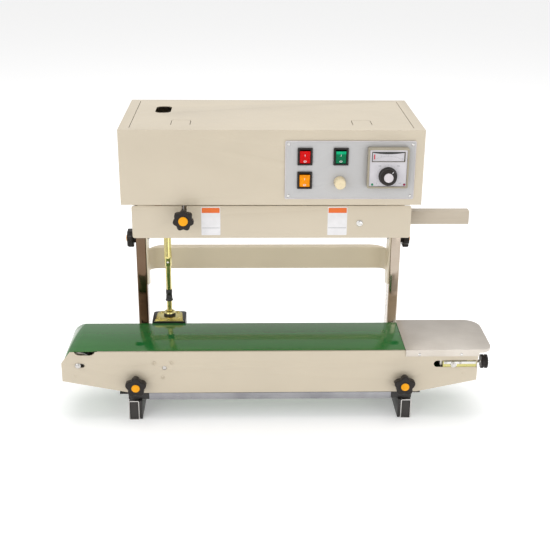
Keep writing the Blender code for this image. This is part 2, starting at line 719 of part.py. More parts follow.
def build_shafts():
    apex_z = DRIVE_ROLLER_Z
    clear = 0.6 * MM
    lower = 5 * MM
    profile = [
        (0, apex_z + 10.5 * MM),
        (10.5 * MM - clear, apex_z + 10.5 * MM),
        (18 * MM - clear, apex_z + 18 * MM),
        (lower, apex_z + 18 * MM),
        (lower, COUPLING_BOTTOM),
        (7 * MM, COUPLING_BOTTOM),
        (6.2 * MM, COUPLING_BOTTOM + 2 * MM),
        (6.2 * MM, COUPLING_TOP),
        (ROD_RADIUS, COUPLING_TOP),
        (ROD_RADIUS, ROD_TOP),
        (0, ROD_TOP),
    ]
    shape = turned(profile, "Z", SHAFT_X, SHAFT_Y)
    add_object("lower_drive_shaft", shape, "zinc_yellow", (SHAFT_X, SHAFT_Y, COUPLING_BOTTOM), 35)
    bore = ROD_RADIUS + GAP
    profile = [
        (0, SLEEVE_BORE_TOP),
        (bore, SLEEVE_BORE_TOP),
        (bore, SLEEVE_BOTTOM),
        (7 * MM, SLEEVE_BOTTOM),
        (7 * MM, SLEEVE_TOP),
        (0, SLEEVE_TOP),
    ]
    shape = turned(profile, "Z", SHAFT_X, SHAFT_Y)
    add_object("drive_sleeve", shape, "zinc_yellow", (SHAFT_X, SHAFT_Y, SLEEVE_BOTTOM), 35)


# ---------------------------------------------------------------- knobs


def star_knob(name, axis, centre, base, facing, radius, lobes, stud_end, grip=KNOB_GRIP):
    """A star knob with its stud.  base is where the hub starts and facing is the way that it looks."""
    grip_start = base + facing * grip[0]
    grip_end = base + facing * grip[1]
    cap_end = grip_end + facing * 2.5 * MM
    outline = lobed_outline(*centre, radius, lobes, 0.2 * radius)
    pivot = on_axis(axis, *centre, base)
    knob = add_object(name, prism(outline, axis, grip_start, grip_end), "black_plastic", pivot, 40)
    profile = [
        (0, stud_end),
        (STUD_RADIUS, stud_end),
        (STUD_RADIUS, base),
        (9 * MM, base),
        (11 * MM, grip_start + facing * 3 * MM),
        (11 * MM, grip_end - facing * 1 * MM),
        (9.2 * MM, grip_end + facing * 1 * MM),
        (9 * MM, cap_end),
        (0, cap_end + facing * 0.8 * MM),
    ]
    fuse(knob, turned(profile, axis, *centre, 20))
    return knob


def build_star_knobs():
    knob_base = SIDE_FRONT - 0.8 * MM
    for side, name in ((-1, "left"), (1, "right")):
        centre = (side * CLAMP_KNOB_X, CLAMP_KNOB_Z)
        star_knob(f"{name}_conveyor_knob", "Y", centre, knob_base, -1, CLAMP_KNOB_RADIUS, 5, -21 * MM)
        post_face = side * (POST_X + RAIL_WIDTH / 2 + 0.8 * MM)
        inner_end = side * (POST_X - RAIL_WIDTH / 2 - 7 * MM)
        star_knob(
            f"{name}_clamp_knob", "X", (CLAMP_Y, CLAMP_Z), post_face, side, POST_KNOB_RADIUS, 7, inner_end,
            POST_KNOB_GRIP,
        )
    centre = (PRESS_X, PRESS_KNOB_Z)
    star_knob("pressure_knob", "Y", centre, GUARD_FRONT - 18 * MM, -1, PRESS_KNOB_RADIUS, 7, 27 * MM)


# ---------------------------------------------------------------- sealing head


def build_cover():
    low = (-COVER_HALF_WIDTH, 0, COVER_BOTTOM)
    high = (COVER_HALF_WIDTH, COVER_DEPTH, COVER_TOP)
    cover = add_object("head_cover", block(low, high), "beige_paint")
    inside_low = (-COVER_HALF_WIDTH + SHEET, SHEET, COVER_BOTTOM + SHEET)
    inside_high = (COVER_HALF_WIDTH - SHEET, COVER_DEPTH - SHEET, COVER_TOP - SHEET)
    cut(cover, block(inside_low, inside_high))
    flange = 16 * MM
    mouth_low = (-COVER_HALF_WIDTH + flange, flange, COVER_BOTTOM - 3 * MM)
    mouth_high = (COVER_HALF_WIDTH - flange, COVER_DEPTH - flange, COVER_BOTTOM + 3 * MM)
    cut(cover, block(mouth_low, mouth_high))
    port = rounded_rectangle(PORT_CENTRE[0], PORT_CENTRE[1], PORT_SIZE[0], PORT_SIZE[1], PORT_CORNER)
    cut(cover, prism(port, "Z", COVER_TOP - 5 * MM, COVER_TOP + 5 * MM))
    for shape in panel_cutters():
        cut(cover, shape)
    cut(cover, rod("Y", 215 * MM, 440 * MM, 6 * MM, COVER_DEPTH - 6 * MM, COVER_DEPTH + 6 * MM))


def panel_cutters():
    """Fresh cutters for the switch, knob and controller holes, through the panel and the cover."""
    near, far = -6 * MM, 6 * MM
    shapes = []
    for x, z in SWITCH_PLACES.values():
        outline = rounded_rectangle(x, z, SWITCH_WIDTH - 4 * MM, SWITCH_HEIGHT - 3 * MM, 0.5 * MM, 1)
        shapes.append(prism(outline, "Y", near, far))
    shapes.append(rod("Y", *SPEED_KNOB_PLACE, 3.5 * MM, near, far))
    side = CONTROLLER_SIDE - 6 * MM
    outline = rounded_rectangle(*CONTROLLER_CENTRE, side, side, 1 * MM, 1)
    shapes.append(prism(outline, "Y", near, far))
    return shapes


def build_deck():
    low = (-DECK_HALF_WIDTH, GUARD_FRONT + SHEET + GAP, DECK_BOTTOM)
    high = (DECK_HALF_WIDTH, 245 * MM, DECK_TOP)
    deck = add_object("deck_plate", block(low, high), "beige_paint")
    span = (DECK_BOTTOM - 3 * MM, DECK_TOP + 3 * MM)
    front_y, rear_y = wheel_rows(BAND_WHEEL_RADIUS)
    for x in (-BAND_WHEEL_X, BAND_WHEEL_X):
        for y in (front_y, rear_y):
            cut(deck, rod("Z", x, y, 5.4 * MM, *span))
    for y in wheel_rows(PRESS_WHEEL_RADIUS):
        cut(deck, rod("Z", PRESS_X, y, 4.4 * MM, *span))
    cut(deck, rod("Z", SHAFT_X, SHAFT_Y, 8 * MM, *span))


def build_guards():
    width = 2 * GUARD_HALF_WIDTH
    top = DECK_BOTTOM - 0.5 * MM
    outline = rounded_rectangle(1 * MM, (GUARD_BOTTOM + top) / 2, width, top - GUARD_BOTTOM, 4 * MM)
    guard = add_object(
        "front_guard", prism(outline, "Y", GUARD_FRONT, GUARD_FRONT + SHEET), "beige_paint"
    )
    lip = block(
        (-GUARD_HALF_WIDTH + 6 * MM, GUARD_FRONT + SHEET / 2, GUARD_BOTTOM + 0.2 * MM),
        (GUARD_HALF_WIDTH - 6 * MM, GUARD_FRONT + 12 * MM, GUARD_BOTTOM + SHEET),
    )
    fuse(guard, lip)
    slot = slot_outline((PRESS_X, PRESS_KNOB_Z), (PRESS_X, top + 10 * MM), STUD_RADIUS + STUD_CLEARANCE)
    cut(guard, prism(slot, "Y", GUARD_FRONT - 3 * MM, GUARD_FRONT + 5 * MM))
    outline = rounded_rectangle(0, (GUARD_BOTTOM + top) / 2, 2 * DECK_HALF_WIDTH, top - GUARD_BOTTOM, 4 * MM)
    rear = add_object(
        "rear_guard", prism(outline, "Y", REAR_GUARD_Y, REAR_GUARD_Y + SHEET), "beige_paint"
    )
    lip = block(
        (-DECK_HALF_WIDTH + 6 * MM, REAR_GUARD_Y - 12 * MM, GUARD_BOTTOM + 0.2 * MM),
        (DECK_HALF_WIDTH - 6 * MM, REAR_GUARD_Y + SHEET / 2, GUARD_BOTTOM + SHEET),
    )
    fuse(rear, lip)


def build_support_frame():
    """Two legs inside the posts and the bent crossbar that joins them behind the posts."""
    outer_x = POST_X - RAIL_WIDTH / 2 - GAP
    inner_x = outer_x - LEG_THICKNESS
    front, rear = POST_FRONT, POST_FRONT + POST_DEPTH
    leg_top = DECK_BOTTOM - GAP
    outline = [
        (front, 191 * MM),
        (rear, 178 * MM),
        (rear, leg_top),
        (front, leg_top),
    ]
    frame = None
    for side in (-1, 1):
        leg = prism(outline, "X", *sorted((side * inner_x, side * outer_x)))
        if frame is None:
            frame = add_object("support_frame", leg, "beige_paint")
        else:
            fuse(frame, leg)
    web_outer_x = outer_x - 0.2 * MM
    web_inner_x = inner_x + 0.2 * MM
    bend = FRAME_BEND
    bend_y = rear - bend + 2.1 * MM
    middle_x = web_outer_x - bend
    inner_bend = bend - (web_outer_x - web_inner_x)
    web = [(web_outer_x, bend_y - 6 * MM)]
    web += arc(middle_x, bend_y, bend, 0, 90, 6)
    web += arc(-middle_x, bend_y, bend, 90, 180, 6)
    web += [(-web_outer_x, bend_y - 6 * MM), (-web_inner_x, bend_y - 6 * MM)]
    web += arc(-middle_x, bend_y, inner_bend, 180, 90, 6)
    web += arc(middle_x, bend_y, inner_bend, 90, 0, 6)
    web += [(web_inner_x, bend_y - 6 * MM)]
    fuse(frame, prism(web, "Z", FRAME_WEB_LOW, FRAME_WEB_HIGH))
    flange_rear = rear + FRAME_FLANGE
    wide = FRAME_FLANGE_CORNER
    flange_inner = inner_bend - 0.1 * MM
    flange = arc(web_outer_x - wide, flange_rear - wide, wide, 12, 90, 6)
    flange += arc(-web_outer_x + wide, flange_rear - wide, wide, 90, 168, 6)
    flange += arc(-middle_x, bend_y, flange_inner, 168, 90, 6)
    flange += arc(middle_x, bend_y, flange_inner, 90, 12, 6)
    fuse(frame, prism(flange, "Z", FRAME_WEB_HIGH - 1.1 * MM, FRAME_WEB_HIGH + 0.9 * MM))
    for side in (-1, 1):
        hole = rod("X", CLAMP_Y, CLAMP_Z, STUD_RADIUS + STUD_CLEARANCE, side * 230 * MM, side * 250 * MM)
        cut(frame, hole)


def wheel_rows(radius):
    """Front and rear wheel axes: both wheels press a band against the sealing plane."""
    reach = BAND_FACE_GAP + BAND_THICKNESS + GAP + radius
    return SEAL_PLANE_Y - reach, SEAL_PLANE_Y + reach


def build_bands():
    front_y, rear_y = wheel_rows(BAND_WHEEL_RADIUS)
    for name, y in (("front_band", front_y), ("rear_band", rear_y)):
        circles = [(BAND_WHEEL_X, y, BAND_WHEEL_RADIUS), (-BAND_WHEEL_X, y, BAND_WHEEL_RADIUS)]
        inner = loop_outline(circles, GAP, (12, 12))
        outer = loop_outline(circles, GAP + BAND_THICKNESS, (12, 12))
        add_object(name, ring_prism(outer, inner, "Z", BAND_LOW, BAND_HIGH), "band_film", smooth_deg=30)


def band_wheel(name, x, y, radius, shaft_radius, shaft_top, finish):
    profile = [
        (0, BAND_LOW - 2 * MM),
        (shaft_radius, BAND_LOW - 2 * MM),
        (shaft_radius, BAND_LOW - 0.5 * MM),
        (radius, BAND_LOW - 0.5 * MM),
        (radius, BAND_HIGH + 0.5 * MM),
        (shaft_radius, BAND_HIGH + 0.5 * MM),
        (shaft_radius, shaft_top),
        (0, shaft_top),
    ]
    return add_object(name, turned(profile, "Z", x, y), finish, (x, y, BAND_LOW), 35)


def build_wheels():
    rows = wheel_rows(BAND_WHEEL_RADIUS)
    pitch_radius = (rows[1] - rows[0]) / 2
    for row, (place, y) in enumerate(zip(("front", "rear"), rows)):
        drive = band_wheel(
            f"{place}_drive_wheel", -BAND_WHEEL_X, y, BAND_WHEEL_RADIUS, 5 * MM, 432 * MM, "rubber"
        )
        phase = GEAR_TEETH / 4 + 0.5 * row
        outline = gear_outline(-BAND_WHEEL_X, y, GEAR_TEETH, pitch_radius, phase)
        fuse(drive, prism(outline, "Z", GEAR_LOW, GEAR_HIGH))
        band_wheel(
            f"{place}_idler_wheel", BAND_WHEEL_X, y, BAND_WHEEL_RADIUS, 5 * MM, 419 * MM, "aluminium"
        )
    front_y, rear_y = wheel_rows(PRESS_WHEEL_RADIUS)
    band_wheel("embossing_wheel", PRESS_X, front_y, PRESS_WHEEL_RADIUS, 4 * MM, 419 * MM, "bright_steel")
    band_wheel("press_wheel", PRESS_X, rear_y, PRESS_WHEEL_RADIUS, 4 * MM, 419 * MM, "rubber")


def build_sealing_blocks():
    """Heating and cooling blocks: each hangs from the deck on two lugs, close behind its band."""
    reach = BAND_FACE_GAP + BAND_THICKNESS + 2 * GAP
    depth = 14 * MM
    places = {"heater": (60 * MM, 150 * MM), "cooler": (-70 * MM, 20 * MM)}
    for kind, (left, right) in places.items():
        lug = 12 * MM
        low, high = BAND_LOW - 2 * MM, BAND_HIGH + 3 * MM
        top = DECK_BOTTOM - GAP
        outline = [
            (left, low),
            (right, low),
            (right, top),
            (right - lug, top),
            (right - lug, high),
            (left + lug, high),
            (left + lug, top),
            (left, top),
        ]
        for place, side in (("front", -1), ("rear", 1)):
            near = SEAL_PLANE_Y + side * reach
            shape = prism(outline, "Y", near, near + side * depth)
            add_object(f"{place}_{kind}", shape, "aluminium")


def build_feed_guide():
    """Upside-down channel that leads a bag's mouth in between the two bands."""
    half, wall = 6 * MM, 1.5 * MM
    low, high = FEED_LOW, FEED_HIGH
    outline = [
        (SEAL_PLANE_Y - half, low),
        (SEAL_PLANE_Y - half, high),
        (SEAL_PLANE_Y + half + FEED_FLANGE, high),
        (SEAL_PLANE_Y + half + FEED_FLANGE, high - wall),
        (SEAL_PLANE_Y + half, high - wall),
        (SEAL_PLANE_Y + half, low),
        (SEAL_PLANE_Y + half - wall, low),
        (SEAL_PLANE_Y + half - wall, high - wall),
        (SEAL_PLANE_Y - half + wall, high - wall),
        (SEAL_PLANE_Y - half + wall, low),
    ]
    guide = add_object("feed_guide", prism(outline, "X", FEED_LEFT, FEED_RIGHT), "beige_paint")
    foot = block(
        (232 * MM, SEAL_PLANE_Y - half + 1 * MM, high - 0.5 * MM),
        (245 * MM, SEAL_PLANE_Y + half - 1 * MM, DECK_BOTTOM - GAP),
    )
    fuse(guide, foot)


def build_gear_motor():
    floor = DECK_TOP + GAP
    low = (SHAFT_X - 42 * MM, 100 * MM, floor)
    high = (SHAFT_X + 42 * MM, 168 * MM, 478 * MM)
    motor = add_object("gear_motor", block(low, high), "motor_grey")
    fuse(motor, rod("X", SHAFT_Y, 455 * MM, 32 * MM, SHAFT_X + 38 * MM, -40 * MM, 24))
    cut(motor, rod("Z", SHAFT_X, SHAFT_Y, 7.4 * MM, floor - 5 * MM, 483 * MM))


def build_gland():
    place = (215 * MM, 440 * MM)
    inner = COVER_DEPTH - SHEET - 8 * MM
    profile = [
        (2.5 * MM, inner),
        (5.6 * MM, inner),
        (5.6 * MM, COVER_DEPTH + GAP),
        (9 * MM, COVER_DEPTH + GAP),
        (9 * MM, COVER_DEPTH + 6 * MM),
        (5 * MM, COVER_DEPTH + 14 * MM),
        (2.5 * MM, COVER_DEPTH + 14 * MM),
        (2.5 * MM, inner),
    ]
    shape = turned(profile, "Y", *place, 16)
    bmesh.ops.remove_doubles(shape, verts=shape.verts, dist=1e-6)
    add_object("cord_gland", shape, "black_plastic", smooth_deg=35)


# ---------------------------------------------------------------- control panel


def build_panel():
    rear = -GAP
    front = rear - PANEL_THICKNESS
    middle = ((PANEL_LEFT + PANEL_RIGHT) / 2, (PANEL_LOW + PANEL_HIGH) / 2)
    outline = rounded_rectangle(*middle, PANEL_RIGHT - PANEL_LEFT, PANEL_HIGH - PANEL_LOW, 3 * MM)
    panel = add_object("control_panel", prism(outline, "Y", front, rear), "panel_grey")
    for shape in panel_cutters():
        cut(panel, shape)
    for colour, (x, z) in SWITCH_PLACES.items():
        build_switch(colour, x, z, front - GAP)
    build_speed_knob(front - GAP)
    build_controller(front - GAP)


def build_switch(colour, x, z, seat):
    """A rocker switch: a bezel with its body behind the panel, and the paddle that rocks in it."""
    bezel_front = seat - 2.5 * MM
    outline = rounded_rectangle(x, z, SWITCH_WIDTH, SWITCH_HEIGHT, 1.5 * MM, 2)
    bezel = add_object(f"{colour}_switch_housing", prism(outline, "Y", bezel_front, seat), "black_plastic")
    body_width, body_height = SWITCH_WIDTH - 5 * MM, SWITCH_HEIGHT - 4 * MM
    body = rounded_rectangle(x, z, body_width, body_height, 0.5 * MM, 1)
    fuse(bezel, prism(body, "Y", seat - 1 * MM, 22 * MM))
    well_width, well_height = SWITCH_WIDTH - 6.6 * MM, SWITCH_HEIGHT - 5.4 * MM
    well = rounded_rectangle(x, z, well_width, well_height, 0.4 * MM, 1)
    cut(bezel, prism(well, "Y", bezel_front - 3 * MM, 9 * MM))
    pivot_y = seat + 1.5 * MM
    half_height = well_height / 2 - 1.4 * MM
    front_end, front_middle = ROCKER_RIM_Y, ROCKER_MIDDLE_Y
    profile = [
        (front_end, half_height),
        (front_middle, 0),
        (front_end, -half_height),
        (2 * MM, -half_height + 2.5 * MM),
        (4.5 * MM, 0),
        (2 * MM, half_height - 2.5 * MM),
    ]
    tilt = math.radians(ROCKER_TILT_DEG)
    outline = [
        (
            pivot_y + y * math.cos(tilt) - v * math.sin(tilt),
            z + y * math.sin(tilt) + v * math.cos(tilt),
        )
        for y, v in profile
    ]
    half_width = well_width / 2 - 0.4 * MM
    shape = prism(outline, "X", x - half_width, x + half_width)
    add_object(f"{colour}_rocker", shape, f"{colour}_lens", (x, pivot_y, z))


def build_speed_knob(seat):
    profile = [
        (0, 8 * MM),
        (3 * MM, 8 * MM),
        (3 * MM, seat - 0.5 * MM),
        (SPEED_KNOB_RADIUS, seat - 0.5 * MM),
        (SPEED_KNOB_RADIUS - 0.7 * MM, seat - 15 * MM),
        (SPEED_KNOB_RADIUS - 1.7 * MM, seat - 16.5 * MM),
        (0, seat - 17 * MM),
    ]
    x, z = SPEED_KNOB_PLACE
    add_object("speed_knob", turned(profile, "Y", x, z), "cream_plastic", (x, seat, z), 35)


def build_controller(seat):
    centre_x, centre_z = CONTROLLER_CENTRE
    outline = rounded_rectangle(centre_x, centre_z, CONTROLLER_SIDE, CONTROLLER_SIDE, 2.5 * MM, 2)
    shape = prism(outline, "Y", CONTROLLER_FACE_Y, seat)
    controller = add_object("temperature_controller", shape, "cream_plastic")
    side = CONTROLLER_SIDE - 7 * MM
    body = rounded_rectangle(centre_x, centre_z, side, side, 0.5 * MM, 1)
    fuse(controller, prism(body, "Y", seat - 1 * MM, 78 * MM))
    window = rounded_rectangle(centre_x, WINDOW_Z, *WINDOW_SIZE, 1 * MM, 1)
    cut(controller, prism(window, "Y", CONTROLLER_FACE_Y - 3 * MM, CONTROLLER_FACE_Y + WINDOW_DEPTH))
    pocket = block(
        (centre_x - 20 * MM, CONTROLLER_FACE_Y + 2.2 * MM, NEEDLE_Z - 4.5 * MM),
        (centre_x + 20 * MM, CONTROLLER_FACE_Y + 6.5 * MM, NEEDLE_Z + 12 * MM),
    )
    cut(controller, pocket)
    bore = rod("Y", centre_x, DIAL_Z, 3.4 * MM, CONTROLLER_FACE_Y - 3 * MM, CONTROLLER_FACE_Y + 12 * MM)
    cut(controller, bore)
    face = CONTROLLER_FACE_Y
    profile = [
        (0, face + 10 * MM),
        (3 * MM, face + 10 * MM),
        (3 * MM, face - 0.5 * MM),
        (DIAL_RADIUS, face - 0.5 * MM),
        (DIAL_RADIUS, face - 5 * MM),
        (DIAL_RADIUS - 1.2 * MM, face - 12 * MM),
        (DIAL_CAP_RADIUS, face - 12.5 * MM),
        (DIAL_CAP_RADIUS, face - 14 * MM),
        (0, face - 14.4 * MM),
    ]
    shape = turned(profile, "Y", centre_x, DIAL_Z, 28)
    add_object("temperature_dial", shape, "black_plastic", (centre_x, face, DIAL_Z), 35)
    build_needle(centre_x, face)


def build_needle(x, face):
    """The meter's pointer, resting at the low end of its scale."""
    lean = math.radians(NEEDLE_REST_DEG)
    half_width = 0.7 * MM
    across = Vector((math.cos(lean), math.sin(lean))) * half_width
    along = Vector((-math.sin(lean), math.cos(lean)))
    pivot = Vector((x, NEEDLE_Z))
    corners = [
        pivot - across,
        pivot + across,
        pivot + across * 0.6 + along * NEEDLE_LENGTH,
        pivot - across * 0.6 + along * NEEDLE_LENGTH,
    ]
    blade = prism([tuple(corner) for corner in corners], "Y", face + 4 * MM, face + 5 * MM)
    hub = rod("Y", x, NEEDLE_Z, 3 * MM, face + 3.4 * MM, face + 5.6 * MM, 12)
    needle = add_object("meter_needle", hub, "black_plastic", (x, face + 4.5 * MM, NEEDLE_Z))
    fuse(needle, blade)


def build_head():
    build_cover()
    build_deck()
    build_guards()
    build_support_frame()
    build_bands()
    build_wheels()
    build_sealing_blocks()
    build_feed_guide()
    build_gear_motor()
    build_gland()
    build_panel()


def build_conveyor():
    build_side_plates()
    build_belt()
    build_rollers()
    build_tension_parts()
    build_table_plate()
    build_gearbox()


def main():
    clear_scene()
    build_stand()
    build_conveyor()
    build_shafts()
    build_star_knobs()
    build_head()


main()
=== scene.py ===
"""Looks of a tabletop continuous band sealer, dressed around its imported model."""

import json
import logging
import math
from dataclasses import dataclass, field
from enum import Enum
from typing import Callable, Sequence

import bmesh
import bpy
from mathutils import Matrix, Vector


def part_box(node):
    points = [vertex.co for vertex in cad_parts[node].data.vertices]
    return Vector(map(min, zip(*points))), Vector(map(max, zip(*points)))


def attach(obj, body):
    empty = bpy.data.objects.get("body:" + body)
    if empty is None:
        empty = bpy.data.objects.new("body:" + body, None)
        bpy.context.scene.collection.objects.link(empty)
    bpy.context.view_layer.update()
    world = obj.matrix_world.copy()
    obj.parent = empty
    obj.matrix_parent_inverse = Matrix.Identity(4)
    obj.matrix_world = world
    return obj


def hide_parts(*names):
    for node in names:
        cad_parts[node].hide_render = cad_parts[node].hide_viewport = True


MM = 0.001
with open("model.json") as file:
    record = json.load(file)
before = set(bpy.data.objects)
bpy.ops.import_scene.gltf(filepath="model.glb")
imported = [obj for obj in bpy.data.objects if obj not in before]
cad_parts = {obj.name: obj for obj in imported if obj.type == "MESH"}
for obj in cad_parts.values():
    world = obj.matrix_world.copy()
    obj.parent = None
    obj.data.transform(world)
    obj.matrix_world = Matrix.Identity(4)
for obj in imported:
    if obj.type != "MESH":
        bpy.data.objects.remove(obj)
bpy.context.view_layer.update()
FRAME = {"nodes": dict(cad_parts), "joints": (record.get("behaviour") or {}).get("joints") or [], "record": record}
LOG = logging.getLogger("band_sealer")
NODE_SLOT = {row["node"]: row["material_slot"] for row in FRAME["record"]["subparts"]}
NODE_BODY = {
    node: body for body, nodes in FRAME["record"]["behaviour"]["bodies"].items() for node in nodes
}


# ------------------------------------------------------------------ finishes


class NodeBoard:
    """A new material and short ways to add nodes to it."""

    def __init__(self, name: str, colour: Sequence[float], roughness: float, metallic: float = 0.0) -> None:
        """Starts a Principled material.

        Args:
            name: name of the material.
            colour: linear red, green and blue.
            roughness: even roughness, before any pattern.
            metallic: 0 for paint and plastic, 1 for bare metal.
        """
        self.material = bpy.data.materials.new(name)
        self.material.use_nodes = True
        self.tree = self.material.node_tree
        self.shader = self.tree.nodes["Principled BSDF"]
        self.set("Base Color", (*colour, 1.0))
        self.set("Roughness", roughness)
        self.set("Metallic", metallic)
        self.material.diffuse_color = (*colour, 1.0)
        self.place = self.tree.nodes.new("ShaderNodeTexCoord").outputs["Object"]

    def set(self, socket: str, value: object) -> None:
        """Sets one of the shader's own sockets."""
        self.shader.inputs[socket].default_value = value

    def link(self, source: bpy.types.NodeSocket, target: bpy.types.NodeSocket) -> None:
        """Joins two sockets."""
        self.tree.links.new(source, target)

    def stretched(self, stretch: Sequence[float]) -> bpy.types.NodeSocket:
        """Object coordinates scaled along each axis.

        Args:
            stretch: the scale along X, Y and Z.

        Returns:
            The vector socket.
        """
        mapping = self.tree.nodes.new("ShaderNodeMapping")
        mapping.inputs["Scale"].default_value = stretch
        self.link(self.place, mapping.inputs["Vector"])
        return mapping.outputs["Vector"]

    def noise(
        self, scale: float, detail: float = 2.0, stretch: Sequence[float] = (1.0, 1.0, 1.0)
    ) -> bpy.types.NodeSocket:
        """Noise on object coordinates.

        Args:
            scale: features per metre.
            detail: octaves.
            stretch: scale along each axis, for grain.

        Returns:
            The factor socket.
        """
        texture = self.tree.nodes.new("ShaderNodeTexNoise")
        texture.inputs["Scale"].default_value = scale
        texture.inputs["Detail"].default_value = detail
        self.link(self.stretched(stretch), texture.inputs["Vector"])
        return texture.outputs["Fac"]

    def ramp(
        self, factor: bpy.types.NodeSocket, stops: Sequence[tuple[float, Sequence[float]]]
    ) -> bpy.types.NodeSocket:
        """Colours a factor.

        Args:
            factor: the socket to colour.
            stops: places from 0 to 1, each with its colour.

        Returns:
            The colour socket.
        """
        node = self.tree.nodes.new("ShaderNodeValToRGB")
        elements = node.color_ramp.elements
        while len(elements) < len(stops):
            elements.new(0.5)
        for element, (place, colour) in zip(elements, stops):
            element.position = place
            element.color = (*colour, 1.0)
        self.link(factor, node.inputs["Fac"])
        return node.outputs["Color"]

    def spread(self, factor: bpy.types.NodeSocket, low: float, high: float) -> bpy.types.NodeSocket:
        """Maps a factor between 0.3 and 0.7, where noise mostly lies, to a range.

        Args:
            factor: the socket to map.
            low: value at 0.3.
            high: value at 0.7.

        Returns:
            The value socket.
        """
        node = self.tree.nodes.new("ShaderNodeMapRange")
        node.inputs["From Min"].default_value = 0.3
        node.inputs["From Max"].default_value = 0.7
        node.inputs["To Min"].default_value = low
        node.inputs["To Max"].default_value = high
        self.link(factor, node.inputs["Value"])
        return node.outputs["Result"]

    def tint(self, factor: bpy.types.NodeSocket, colour: Sequence[float], change: float) -> None:
        """Varies the base colour by a share up and down along a factor."""
        low = [part * (1 - change) for part in colour]
        high = [min(1.0, part * (1 + change)) for part in colour]
        self.link(self.ramp(factor, ((0.3, low), (0.7, high))), self.shader.inputs["Base Color"])

    def roughen(self, factor: bpy.types.NodeSocket, low: float, high: float) -> None:
        """Varies the roughness along a factor."""
        self.link(self.spread(factor, low, high), self.shader.inputs["Roughness"])

    def bump(self, height: bpy.types.NodeSocket, depth: float, strength: float = 1.0) -> None:
        """Adds relief to the shader's normal, on top of any that is there.

        Args:
            height: the socket that holds the height.
            depth: the height of a full step, in metres.
            strength: share of the effect.
        """
        node = self.tree.nodes.new("ShaderNodeBump")
        node.inputs["Distance"].default_value = depth
        node.inputs["Strength"].default_value = strength
        self.link(height, node.inputs["Height"])
        normal = self.shader.inputs["Normal"]
        if normal.is_linked:
            self.link(normal.links[0].from_socket, node.inputs["Normal"])
        self.link(node.outputs["Normal"], normal)


@dataclass(frozen=True)
class Enamel:
    """Baked paint on sheet metal, with a fine peel and faint handling marks."""

    name: str
    colour: tuple[float, float, float]
    roughness: float = 0.38
    peel_depth: float = 0.00006
    coat: float = 0.25

    def build(self) -> bpy.types.Material:
        """Makes the material."""
        board = NodeBoard(self.name, self.colour, self.roughness)
        cloud = board.noise(9.0, 3.0)
        board.tint(cloud, self.colour, 0.025)
        board.roughen(board.noise(60.0, 4.0), self.roughness - 0.05, self.roughness + 0.07)
        board.bump(board.noise(700.0, 2.0), self.peel_depth, 0.35)
        board.set("Coat Weight", self.coat)
        board.set("Coat Roughness", 0.25)
        return board.material


@dataclass(frozen=True)
class Plate:
    """Bare or plated metal with a drawn grain and patchy sheen."""

    name: str
    colour: tuple[float, float, float]
    second: tuple[float, float, float]
    roughness: float
    grain: tuple[float, float, float] = (1.0, 1.0, 1.0)
    grain_depth: float = 0.00001
    cloud: float = 22.0

    def build(self) -> bpy.types.Material:
        """Makes the material."""
        board = NodeBoard(self.name, self.colour, self.roughness, 1.0)
        patch = board.noise(self.cloud, 4.0)
        colours = ((0.32, self.colour), (0.68, self.second))
        board.link(board.ramp(patch, colours), board.shader.inputs["Base Color"])
        grain = board.noise(420.0, 3.0, self.grain)
        board.roughen(grain, self.roughness * 0.75, self.roughness * 1.3)
        board.bump(grain, self.grain_depth, 0.5)
        return board.material


@dataclass(frozen=True)
class Moulding:
    """Moulded plastic or rubber with a fine texture."""

    name: str
    colour: tuple[float, float, float]
    roughness: float = 0.4
    texture_depth: float = 0.00005
    texture_scale: float = 1500.0
    coat: float = 0.0
    sheen_level: float = 0.5

    def build(self) -> bpy.types.Material:
        """Makes the material."""
        board = NodeBoard(self.name, self.colour, self.roughness)
        board.tint(board.noise(45.0, 3.0), self.colour, 0.07)
        board.roughen(board.noise(180.0, 3.0), self.roughness - 0.06, self.roughness + 0.08)
        board.bump(board.noise(self.texture_scale, 2.0), self.texture_depth, 0.4)
        board.set("Coat Weight", self.coat)
        board.set("Coat Roughness", 0.12)
        board.set("Specular IOR Level", self.sheen_level)
        return board.material


@dataclass(frozen=True)
class BeltCover:
    """Glossy coated belting: a smooth green face over a cloth whose weave shows through faintly; its reflections
    are tinted beige, a painted reflection of the beige parts round it.
    """

    name: str
    colour: tuple[float, float, float]
    worn: tuple[float, float, float]
    painted_reflection_tint: tuple[float, float, float]
    roughness: float = 0.09

    def build(self) -> bpy.types.Material:
        """Makes the material."""
        board = NodeBoard(self.name, self.colour, self.roughness)
        rub = board.noise(5.0, 4.0, (1.0, 6.0, 1.0))
        colours = ((0.3, self.colour), (0.75, self.worn))
        board.link(board.ramp(rub, colours), board.shader.inputs["Base Color"])
        board.roughen(board.noise(30.0, 4.0, (0.3, 3.0, 1.0)), self.roughness - 0.04, self.roughness + 0.05)
        for direction in ("X", "Y"):
            thread = board.tree.nodes.new("ShaderNodeTexWave")
            thread.wave_type = "BANDS"
            thread.bands_direction = direction
            thread.inputs["Scale"].default_value = 260.0
            thread.inputs["Distortion"].default_value = 0.4
            board.link(board.place, thread.inputs["Vector"])
            board.bump(thread.outputs["Fac"], 0.000006, 0.2)
        board.set("Specular IOR Level", 0.85)
        # Beige specular tint: painted reflection of the beige plates and cover.
        board.set("Specular Tint", (*self.painted_reflection_tint, 1.0))
        return board.material


@dataclass(frozen=True)
class Lens:
    """Clear coloured plastic of a lit rocker."""

    name: str
    colour: tuple[float, float, float]
    glow: float = 0.12

    def build(self) -> bpy.types.Material:
        """Makes the material."""
        board = NodeBoard(self.name, self.colour, 0.16)
        board.tint(board.noise(220.0, 3.0), self.colour, 0.18)
        board.bump(board.noise(160.0, 1.0), 0.0001, 0.3)
        board.set("Specular IOR Level", 0.12)
        board.set("Emission Color", (*self.colour, 1.0))
        board.set("Emission Strength", self.glow)
        return board.material


